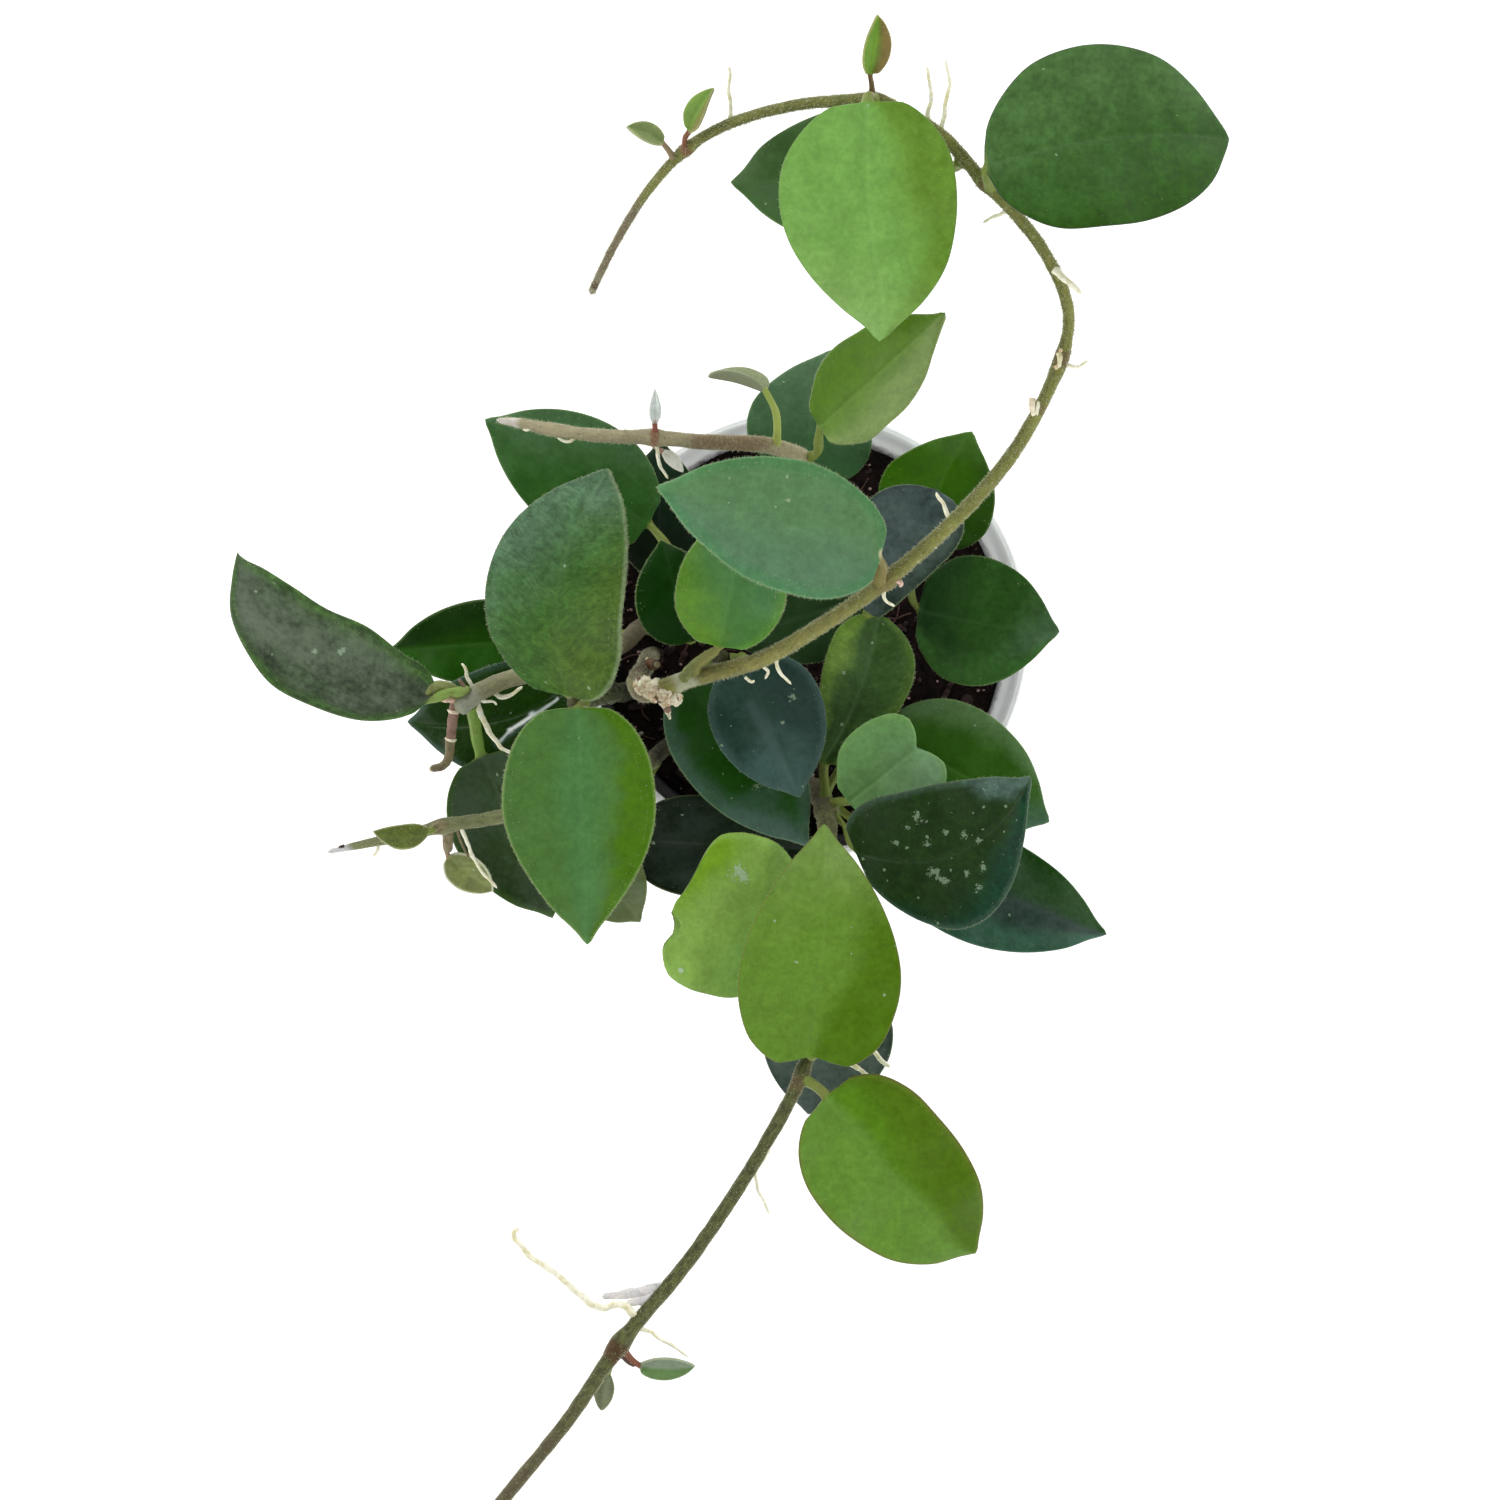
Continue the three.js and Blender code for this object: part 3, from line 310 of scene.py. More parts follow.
# Leaves
leafShape = {
    "step": 0.8,         # mm between stations along the blade
    "across": 27,        # samples across, without the margins
    "margin": 0.55,      # mm, rounding of the edge
    "groove": 0.24,      # mm, midrib channel on the upper face
    "rib": 0.42,         # mm, midrib ridge below
    "ripple": 0.34,      # mm, soft unevenness of the blade
    "pillow": 0.09,      # mm, swelling between the side veins
    "sideVeins": 8,      # on each side of the midrib
    "veinSlope": 0.62,   # how far a side vein runs on for each mm out
    "ribs": [-1, -0.55, 0, 0.55, 1],    # places across of the solid's points
    "sunk": 1.2,         # mm, the stalk's end in its vine
    "hairThick": 0.035, "stalkHair": 0.36,
}

# Colours are as seen, and sizes in mm. Places run from 0 to 1 along the blade and from -1 to 1 across it.
plainLeaf = {
    "tones": [],           # colour, weight across and along, where it starts, how softly
    "middle": None,        # colour and share of a band down the middle
    "edge": None,          # colour, share and width of a band inside the margin
    "band": None,          # the same, on one side only
    "wobble": 0.7,         # how far tones stray
    "vein": 0.14, "mottle": 0.2, "streak": 0.0, "comb": 0.0,
    "rim": (128, 148, 84), "rimShare": 0.28, "rimWide": 0.5,
    "dust": 0.0, "dustColour": (112, 128, 122), "clean": 2.0,
    "dots": 0.05, "speck": 0.5, "speckColour": (176, 200, 168),
    "scuffs": [],          # place along and across, size
    "patches": [],         # colour, place along and across, size, share
    "glint": [],           # start and end as places, width, colour, share
    "dents": [],           # plan place, height, reach and depth of a notch or bump of the margin
    "gloss": 0.46, "shine": 0.22,
    "hair": 2.0, "hairLength": 0.45, "stalk": (124, 140, 66), "stalkBrown": (124, 110, 66),
}
leafLooks = {
    "loop_top_leaf": {
        "blade": (118, 168, 78),
        "tones": [((100, 140, 44), -1, -0.15, 0.42, 0.3), ((132, 174, 92), 0.2, 0.8, 0.7, 0.3)],
        "rim": (88, 120, 44), "rimShare": 0.4, "dots": 0.04, "hair": 1.0, "vein": 0.1},
    "loop_side_leaf": {
        "blade": (55, 97, 34),
        # The first tone is a painted highlight, soft light over the upper-left part of the blade
        "tones": [((74, 112, 56), -0.6, -0.6, -0.2, 0.3), ((46, 88, 16), 0.9, 0.3, 0.75, 0.25)],
        "rim": (40, 62, 22), "rimShare": 0.6, "hair": 0.5, "gloss": 0.4, "vein": 0.03, "mottle": 0.34},
    "loop_under_leaf": {"blade": (42, 84, 22), "tones": [((68, 100, 52), 0.3, 1, 0.8, 0.3)]},
    "loop_young_leaf": {
        "blade": (104, 146, 40), "tones": [((128, 112, 56), 1, -0.2, 0.1, 0.3)],
        "rim": (186, 180, 124), "rimShare": 0.6, "hair": 4.0, "stalk": (118, 92, 62)},
    "loop_bud_leaf": {
        "blade": (116, 150, 64), "tones": [((120, 122, 56), 1, -0.4, 0.1, 0.3)],
        "rim": (182, 180, 130), "rimShare": 0.6, "hair": 4.0, "stalk": (128, 84, 60)},
    "loop_end_leaf": {
        "blade": (132, 150, 92), "rim": (194, 196, 152), "rimShare": 0.6, "hair": 5.0,
        "stalk": (150, 132, 104)},
    "blue_leaf": {
        "blade": (95, 135, 89), "tones": [((90, 129, 95), -0.8, 0.0, 0.15, 0.5)],
        "patches": [((216, 212, 168), 0.0, 0.3, 1.2, 0.9)],
        "edge": ((68, 136, 78), 0.45, 3.0), "rim": (130, 176, 120), "rimShare": 0.45, "hair": 9.0,
        "hairLength": 0.5, "dots": 0.22, "vein": 0.05, "stalk": (128, 120, 70)},
    "knee_leaf": {
        "blade": (76, 128, 58),
        "tones": [((96, 144, 36), -0.5, -0.7, 0.0, 0.3), ((78, 126, 80), 0.2, 0.9, 0.5, 0.3)],
        "edge": ((98, 150, 44), 0.5, 2.2), "rim": (150, 176, 104), "rimShare": 0.5, "hair": 9.0, "dots": 0.12,
        "stalk": (130, 130, 70)},
    "back_pale_leaf": {
        "blade": (94, 130, 42),
        "tones": [((80, 120, 14), -0.9, -0.5, 0.1, 0.35), ((122, 146, 80), 0.9, 0.5, 0.5, 0.3)],
        "rim": (150, 168, 106), "rimShare": 0.45, "hair": 7.0},
    "back_folded_leaf": {
        "blade": (138, 148, 108), "rim": (200, 208, 180), "hair": 5.0, "stalk": (168, 184, 92)},
    "back_dark_leaf": {"blade": (56, 100, 56), "tones": [((86, 120, 86), 0, 1, 0.5, 0.3)]},
    "back_bud": {"blade": (238, 246, 242), "rim": (246, 250, 244), "hair": 6.0, "stalk": (150, 92, 72),
                 "tones": [((176, 120, 100), 0, -1, -0.1, 0.08)]},
    "back_bud_low": {"blade": (255, 255, 246), "rim": (250, 250, 240), "hair": 6.0, "stalk": (190, 150, 135)},
    "far_left_back_leaf": {
        "blade": (44, 92, 26), "tones": [((72, 110, 66), 0.5, 0.8, 0.5, 0.3)], "vein": 0.06},
    "back_inner_leaf": {"blade": (2, 24, 2), "tones": [((16, 46, 24), 0.2, 1, 0.6, 0.3)]},
    "crown_shade_leaf": {"blade": (14, 58, 0), "tones": [((8, 38, 0), 0.5, -0.5, 0.0, 0.3)],
                         "rim": (130, 152, 90), "rimShare": 0.45, "hair": 4.0, "shine": 0.14},
    "right_inner_leaf": {"blade": (34, 66, 24), "tones": [((24, 50, 16), 0.4, 0.6, 0.4, 0.3)]},
    "back_right_leaf": {
        "blade": (58, 108, 2), "tones": [((38, 78, 0), 0.8, -0.6, 0.0, 0.3), ((72, 112, 42), 0, 1, 0.8, 0.2)],
        "dots": 0.1, "shine": 0.14},
    "slate_leaf": {
        "blade": (56, 72, 72), "tones": [((40, 58, 48), 0.6, -0.5, 0.0, 0.3)], "dust": 0.3, "mottle": 0.3},
    "right_leaf": {
        "blade": (40, 84, 22),
        "tones": [((26, 64, 18), 0.0, -1.0, -0.35, 0.25), ((72, 106, 70), 0.15, 1.0, 0.8, 0.25),
                  ((52, 98, 36), 1.0, 0.0, 0.6, 0.25)],
        "dots": 0.14, "mottle": 0.3},
    "olive_leaf": {
        "blade": (62, 94, 42), "tones": [((112, 146, 58), -0.9, 0.2, 0.65, 0.2)],
        "edge": ((90, 124, 42), 0.6, 2.6),
        "dots": 0.5, "hair": 5.0, "mottle": 0.35, "streak": 0.2},
    "sage_leaf": {"blade": (110, 156, 92), "tones": [((126, 168, 120), 0.4, 0.6, 0.5, 0.3)], "dots": 0.1,
                  "edge": ((122, 172, 92), 0.5, 1.6), "rim": (150, 184, 116), "hair": 4.0, "vein": 0.05},
    "right_low_leaf": {
        "blade": (50, 98, 12),
        "tones": [((88, 124, 72), -0.9, -0.4, 0.45, 0.25), ((62, 100, 70), 0.2, 1, 0.75, 0.2)],
        "dots": 0.1},
    "speckled_leaf": {
        "blade": (28, 56, 12),
        "tones": [((82, 108, 96), -0.5, 1.25, 1.3, 0.16), ((16, 60, 36), 0.75, 0.6, 0.75, 0.2)],
        "edge": ((78, 104, 88), 0.45, 1.5), "rim": (116, 138, 98), "mottle": 0.4, "streak": 0.2,
        "dots": 0.7, "speck": 0.42,
        "scuffs": [
            (0.41, -0.6, 2.4), (0.4, -0.23, 2.0), (0.37, 0.18, 2.6), (0.4, 0.32, 2.0), (0.25, -0.28, 1.4),
            (0.53, 0.58, 1.8), (0.59, 0.38, 1.6), (0.57, -0.16, 1.8), (0.5, -0.3, 1.4), (0.62, 0.02, 1.4),
            (0.51, 0.33, 1.2), (0.34, -0.5, 1.3)]},
    "right_front_leaf": {
        "blade": (44, 68, 58),
        "tones": [((24, 72, 0), -0.9, 0.1, 0.15, 0.16), ((54, 98, 74), 0.8, -0.3, 0.1, 0.16)],
        "dust": 0.2, "dots": 0.2, "rim": (98, 124, 98)},
    "slate_drop_leaf": {
        "blade": (30, 64, 52),
        "tones": [((22, 52, 46), -0.6, -0.5, 0.1, 0.3), ((60, 94, 88), 0.2, 1, 0.7, 0.2)],
        # Painted highlights: the grey-blue band inside the margin and the glint line along the midrib
        "edge": ((74, 102, 96), 0.5, 1.8), "rim": (104, 128, 114), "dust": 0.12, "clean": 0.6,
        "dots": 0.36, "scuffs": [(0.35, -0.5, 1.6)],
        "glint": [((0.3, 0.2), (0.92, 0.05), 1.6, (96, 120, 116), 0.25)]},
    "bright_deep_leaf": {
        # Painted sheen: the grey-blue tone towards the tip and the wide grey-blue band inside the margin
        "blade": (30, 84, 6), "tones": [((80, 110, 100), 0.35, 1, 0.84, 0.2)],
        "edge": ((84, 114, 100), 0.65, 4.4),
        "dots": 0.2, "scuffs": [(0.62, 0.1, 2.2)], "vein": 0.05},
    "black_leaf": {"blade": (10, 28, 8), "dust": 0.1, "dots": 0.2, "gloss": 0.38},
    "left_under_leaf": {
        "blade": (34, 84, 0), "tones": [((20, 54, 0), 0.8, 0.3, 0.3, 0.3)],
        "edge": ((84, 112, 66), 0.5, 0.7), "shine": 0.14},
    "left_gloss_leaf": {
        "blade": (24, 56, 2), "gloss": 0.25, "shine": 0.3, "dots": 0.12,
        # Painted highlights: the grey-blue band inside the margin and the glint lines, where the blade catches
        # the window
        "rim": (62, 84, 60), "edge": ((70, 98, 84), 0.5, 1.6),
        "glint": [((0.47, -0.40), (0.24, -0.12), 1.3, (96, 118, 112), 0.5),
                  ((0.45, -0.37), (0.38, -0.22), 0.55, (214, 224, 220), 0.9),
                  ((0.38, -0.22), (0.24, -0.12), 0.9, (252, 255, 254), 1.0),
                  ((0.24, -0.12), (0.07, -0.08), 0.6, (214, 226, 222), 0.8)]},
    "tall_left_leaf": {
        "blade": (62, 104, 40),
        "tones": [((76, 104, 36), 0.5, -1, -0.25, 0.3), ((88, 122, 90), -0.3, 1, 0.66, 0.3)],
        "rim": (84, 92, 50), "hair": 7.0, "vein": 0.08, "mottle": 0.4, "streak": 0.35, "dots": 0.08,
        # The band is a painted highlight, a whitish line inside one margin
        "band": ((150, 168, 130), 0.55, 0.9, 1)},
    "low_left_leaf": {
        "blade": (76, 118, 52), "tones": [((70, 114, 0), -1, 0.15, 0.62, 0.14)],
        "middle": ((76, 130, 72), 0.6),
        "edge": ((140, 170, 96), 0.3, 0.6), "rim": (134, 158, 82), "rimShare": 0.3, "hair": 8.0, "dots": 0.08,
        "vein": 0.08},
    "far_left_leaf": {
        "blade": (52, 70, 42), "tones": [((66, 102, 40), 0.9, -0.3, 0.42, 0.2)],
        "edge": ((64, 104, 36), 0.75, 2.4), "comb": 0.5, "mottle": 0.5, "streak": 0.35, "vein": 0.2,
        "dust": 0.8, "clean": 4.5, "dustColour": (106, 120, 100), "dots": 0.1, "rim": (104, 122, 84),
        "stalk": (138, 168, 84),
        "scuffs": [(0.5, 0.1, 1.4), (0.42, 0.35, 1.6)]},
    "left_hanging_leaf": {
        "blade": (52, 76, 34), "tones": [((36, 58, 18), 0.3, 0.9, 0.5, 0.3)],
        "edge": ((72, 108, 38), 0.4, 1.8),
        "dots": 0.35, "dust": 0.2, "stalk": (124, 160, 70)},
    "low_under_leaf": {"blade": (98, 112, 66), "dust": 0.2},
    "low_rimmed_leaf": {
        "blade": (126, 136, 78), "edge": ((222, 226, 196), 0.4, 0.5), "mottle": 0.4,
        "rim": (226, 230, 202), "rimShare": 0.9, "rimWide": 0.8, "hair": 6.0, "stalk": (152, 126, 100)},
    "low_end_leaf": {
        "blade": (94, 108, 46), "rim": (206, 210, 164), "rimShare": 0.5, "hair": 4.0, "streak": 0.5},
    "front_back_leaf": {
        "blade": (137, 177, 80),
        "tones": [((116, 160, 30), 0.3, 0.8, 0.75, 0.2), ((124, 174, 88), -0.2, -0.9, -0.2, 0.3)],
        "edge": ((148, 188, 96), 0.5, 1.6), "dots": 0.06, "speck": 0.85, "vein": 0.05,
        "rim": (124, 146, 66), "rimShare": 0.5,
        "scuffs": [(0.64, 0.51, 3.4), (0.58, 0.46, 2.4), (0.84, -0.85, 1.1)],
        "patches": [((236, 228, 170), 0.33, -0.35, 0.6, 0.9)],
        "dents": [(-33.6, -71.6, 42, 3.4, 3.6)]},
    "front_pale_leaf": {
        "blade": (98, 138, 42),
        "tones": [((76, 114, 0), 0.8, -1.0, -0.1, 0.2), ((114, 146, 66), 0, 1, 0.75, 0.25)],
        "rim": (104, 104, 40), "rimShare": 0.5, "rimWide": 0.7, "hair": 1.0, "dots": 0.12, "vein": 0.06},
    "front_under_leaf": {"blade": (50, 66, 58), "dust": 0.3},
    "front_low_leaf": {
        "blade": (99, 142, 48), "wobble": 0.35,
        "tones": [((84, 130, 12), -1, 0.1, 0.14, 0.14), ((78, 112, 0), -0.8, 0.8, 0.6, 0.22)],
        "edge": ((120, 140, 56), 0.3, 1.4), "rim": (108, 76, 40), "rimShare": 0.5, "rimWide": 0.75,
        "hair": 1.0, "dots": 0.06, "vein": 0.06},
    "front_bud_leaf": {
        "blade": (120, 136, 110), "tones": [((100, 134, 74), 1, 0, 0.1, 0.2)],
        "rim": (200, 208, 176), "rimShare": 0.5, "hair": 4.0, "stalk": (132, 84, 62)},
    "front_end_bud": {"blade": (110, 118, 88), "rim": (130, 146, 100), "rimShare": 0.5, "hair": 4.0},
}


def leafSkin(node, look, bladeLength):
    skin = Skin("skin of " + pieceName(node))
    along, across, halfWide = skin.split(skin.spot())
    under = skin.put("Attribute", {}, attribute_name="under").outputs["Fac"]
    side = skin.size(across)
    offMiddle = skin.times(side, halfWide)
    fromRim = skin.minus(halfWide, offMiddle)
    run = skin.times(along, bladeLength)
    seed = (sum(map(ord, node)) % 97) * 0.031
    broad = skin.grain(75, 3, 0.5, seed=seed)
    cloud = skin.grain(230, 5, 0.62, seed=seed + 3)
    fine = skin.grain(800, 4, 0.66, seed=seed)
    drift = skin.minus(broad, 0.5)

    def awayFrom(placeAlong, placeAcross, ragged, reach):
        # Distance in mm from a place on the blade, made ragged by a grain
        dx = skin.minus(run, placeAlong * bladeLength)
        dy = skin.times(skin.minus(across, placeAcross), halfWide)
        return skin.stray(skin.apart(dx, dy), ragged, reach)

    # Tones that meet softly, a middle band and a margin band
    colour = display(look["blade"])
    for tone, weightAcross, weightAlong, meet, soft in look["tones"]:
        way = skin.timesPlus(across, weightAcross, skin.times(along, weightAlong))
        way = skin.timesPlus(drift, look["wobble"], way)
        way = skin.stray(way, cloud, look["wobble"] * 0.3)
        colour = skin.mix(skin.ramp(way, meet - soft, meet + soft), colour, tone)
    if look["middle"]:
        tone, share = look["middle"]
        middle = skin.ramp(skin.timesPlus(drift, 0.5, side), 0.05, 0.5, share, 0.0)
        colour = skin.mix(middle, colour, tone)
    for band in filter(None, (look["edge"], look["band"])):
        tone, share, width, *sides = band
        edge = skin.stray(fromRim, cloud, width * 1.5)
        edge = skin.ramp(edge, width * 0.3, width * 1.4, share, 0.0)
        for sign in sides:
            edge = skin.times(edge, skin.ramp(skin.times(across, sign), -0.1, 0.1))
        colour = skin.mix(edge, colour, tone)

    # Mottling, with streaks that run out from the midrib as the side veins do
    slant = skin.timesPlus(offMiddle, -leafShape["veinSlope"], run)
    mottle, streaks = look["mottle"], look["streak"]
    value = skin.times(skin.ramp(cloud, 0.3, 0.7, 1 - mottle * 0.5, 1 + mottle * 0.45),
                       skin.ramp(fine, 0.25, 0.75, 1 - mottle * 0.6, 1 + mottle * 0.6))
    if streaks:
        strayed = skin.timesPlus(drift, 9.0, slant)
        flow = skin.put("CombineXYZ", {"X": strayed, "Y": skin.times(offMiddle, 0.3), "Z": across}).outputs[0]
        streak = skin.grain(1.5, 4, 0.6, seed=seed, where=flow)
        value = skin.times(value, skin.ramp(streak, 0.3, 0.7, 1 - streaks * 0.5, 1 + streaks * 0.5))
    if look["comb"]:
        # Long dark strokes down the blade
        strokes = skin.put("CombineXYZ", {"X": skin.times(run, 0.12), "Y": skin.times(across, 4.0)}).outputs[0]
        strokes = skin.grain(1.1, 5, 0.7, seed=seed, where=strokes)
        value = skin.times(value, skin.ramp(strokes, 0.36, 0.6, 1 - look["comb"], 1 + look["comb"] * 0.3))
    colour = skin.lighter(colour, value)

    # Midrib and side veins: thin paler lines
    midrib = skin.ramp(offMiddle, 0.12, 0.8, 1.0, 0.0)
    cell = skin.timesPlus(drift, 4.0, slant)
    cell = skin.maths("FRACT", skin.maths("DIVIDE", cell, max(bladeLength / leafShape["sideVeins"], 1.5)))
    line = skin.ramp(skin.size(skin.minus(cell, 0.5)), 0.0, 0.06, 1.0, 0.0)
    line = skin.times(line, skin.ramp(side, 0.55, 0.95, 0.5, 0.0))
    line = skin.times(line, skin.ramp(cloud, 0.42, 0.62, 0.0, 0.8))
    onBlade = skin.ramp(along, -0.015, 0.012)
    veins = skin.times(skin.greatest(midrib, line), onBlade)
    paler = [min(255, c * 1.12 + 26) for c in look["blade"]]
    colour = skin.mix(skin.times(veins, look["vein"]), colour, paler)

    # Dusty bloom
    if look["dust"]:
        dust = skin.timesPlus(fine, 0.5, skin.timesPlus(cloud, 0.5, broad))
        dust = skin.ramp(dust, 0.72, 1.22, 0.0, look["dust"])
        dust = skin.times(dust, skin.ramp(fromRim, 0.3, look["clean"], 0.15, 1.0))
        colour = skin.mix(dust, colour, look["dustColour"])

    # Pale specks, one in some cells of a bent grid, and scuffs
    warp = skin.put("TexNoise", {"Vector": skin.where, "Scale": 1300.0, "Detail": 2.0}).outputs["Color"]
    bend = (1.1 * mm,) * 3
    bent = skin.put("VectorMath", {0: warp, 1: bend, 2: skin.where}, operation="MULTIPLY_ADD").outputs[0]
    cells = skin.put("TexVoronoi", {"Vector": bent, "Scale": 420.0}).outputs
    chosen = skin.put("SeparateColor", {"Color": cells["Color"]}).outputs
    speck = skin.maths("LESS_THAN", cells["Distance"], skin.ramp(chosen[1], 0.0, 1.0, 0.05, 0.17))
    speck = skin.times(speck, skin.maths("GREATER_THAN", chosen[0], 1 - look["dots"] * 0.5))
    if look["scuffs"]:
        scratch = skin.grain(1900, 5, 0.75, seed=seed)
    for placeAlong, placeAcross, size in look["scuffs"]:
        # Close marks in the middle of a scuff, thinning out round it
        away = awayFrom(placeAlong, placeAcross, fine, size * 2.2)
        limit = skin.ramp(away, 0.0, size, 0.4, 0.72)
        speck = skin.greatest(speck, skin.maths("GREATER_THAN", scratch, limit))
    colour = skin.mix(skin.times(speck, look["speck"]), colour, look["speckColour"])

    # Pale or brown patches
    for tone, placeAlong, placeAcross, size, share in look["patches"]:
        away = awayFrom(placeAlong, placeAcross, cloud, size * 1.2)
        colour = skin.mix(skin.ramp(away, size * 0.3, size, share, 0.0), colour, tone)

    # Lines where the blade catches the window
    for (startAlong, startAcross), (endAlong, endAcross), width, tone, share in look["glint"]:
        wayAlong, wayAcross = endAlong - startAlong, endAcross - startAcross
        dx = skin.minus(along, startAlong)
        dy = skin.minus(across, startAcross)
        part = skin.timesPlus(dx, wayAlong, skin.times(dy, wayAcross))
        part = skin.maths("DIVIDE", part, wayAlong ** 2 + wayAcross ** 2)
        part = skin.maths("MINIMUM", skin.greatest(part, 0.0), 1.0)
        offAlong = skin.times(skin.timesPlus(part, -wayAlong, dx), bladeLength)
        offAcross = skin.times(skin.timesPlus(part, -wayAcross, dy), halfWide)
        away = skin.stray(skin.apart(offAlong, offAcross), fine, width)
        colour = skin.mix(skin.ramp(away, width * 0.1, width * 1.4, share, 0.0), colour, tone)

    # Margin, underside and stalk
    rim = skin.ramp(fromRim, 0.08, look["rimWide"], look["rimShare"], 0.0)
    colour = skin.mix(rim, colour, look["rim"])
    duller = [c * 0.72 + 38 for c in look["blade"]]
    colour = skin.mix(skin.ramp(under, 0.55, 0.95), colour, duller)
    browner = skin.mix(skin.ramp(cloud, 0.5, 0.7, 0.0, 0.5), look["stalk"], look["stalkBrown"])
    colour = skin.mix(onBlade, browner, colour)

    rough = skin.ramp(skin.plus(fine, cloud), 0.7, 1.3, look["gloss"] - 0.06, look["gloss"] + 0.1)
    height = skin.timesPlus(fine, 0.35, skin.times(cloud, 0.5))
    skin.relief(skin.timesPlus(veins, -0.55, height), 0.35, 0.35)
    return skin.finish({"Base Color": colour, "Roughness": rough, "Specular IOR Level": look["shine"]})


def fuzzSkin():
    skin = Skin("leaf hairs")
    colour = skin.mix(skin.grain(900, 2), (186, 192, 140), (232, 234, 206))
    return skin.finish({"Base Color": colour, "Roughness": 0.6})


def readRings(node):
    # The solid's rings of ten points, from the stalk to the tip, left to right over the top
    mesh = frame["nodes"][node].data
    number, points, corners = {}, [], []
    for vertex in mesh.vertices:
        key = tuple(vertex.co)
        if key not in number:
            number[key] = len(points)
            points.append(vertex.co.copy())
        corners.append(number[key])
    faces = [[corners[i] for i in face.vertices] for face in mesh.polygons]
    near = [set() for point in points]
    atPoint = [[] for point in points]
    for face in faces:
        for i in face:
            near[i].update(face)
            atPoint[i].append(face)
    ends = sorted(range(len(points)), key=lambda i: -len(atPoint[i]))[:4]
    best = None
    for end in ends:
        normals = []
        for face in atPoint[end]:
            a, b, c = (points[i] for i in face)
            normals.append((b - a).cross(c - a).normalized())
        for normal in normals:
            flat = [f for f, n in zip(atPoint[end], normals) if n.dot(normal) > 0.9999]
            if len(flat) != 8:
                continue
            onward = {}
            for face in flat:
                spin = face.index(end)
                onward[face[(spin + 2) % 3]] = face[(spin + 1) % 3]
            first = (set(onward) - set(onward.values()) or {None}).pop()
            if first is None:
                continue
            ring = [end, first]
            while ring[-1] in onward:
                ring.append(onward[ring[-1]])
            if len(ring) != 10:
                continue
            spots = [points[i] for i in ring]
            girth = sum((spots[i] - spots[i - 1]).length for i in range(10))
            area = sum((spots[i] - spots[0]).cross(spots[i + 1] - spots[0]).length for i in range(1, 9))
            if best is None or area / girth > best[0]:
                best = (area / girth, ring)
            break
    rings = [best[1]]
    used = set(best[1])
    while True:
        spot = {v: i for i, v in enumerate(rings[-1])}
        fresh = {w for v in rings[-1] for w in near[v]} - used
        if not fresh:
            break
        ring = [None] * 10
        for w in fresh:
            touched = sorted(spot[v] for v in near[w] if v in spot)
            if len(touched) == 1:
                index = 0
            elif len(touched) == 3:
                index = 5
            elif touched == [0, 9]:
                index = 9
            else:
                index = touched[1] if touched[1] <= 4 else touched[0]
            ring[index] = w
        rings.append(ring)
        used.update(ring)
    return np.array([[list(points[i]) for i in ring] for ring in rings])


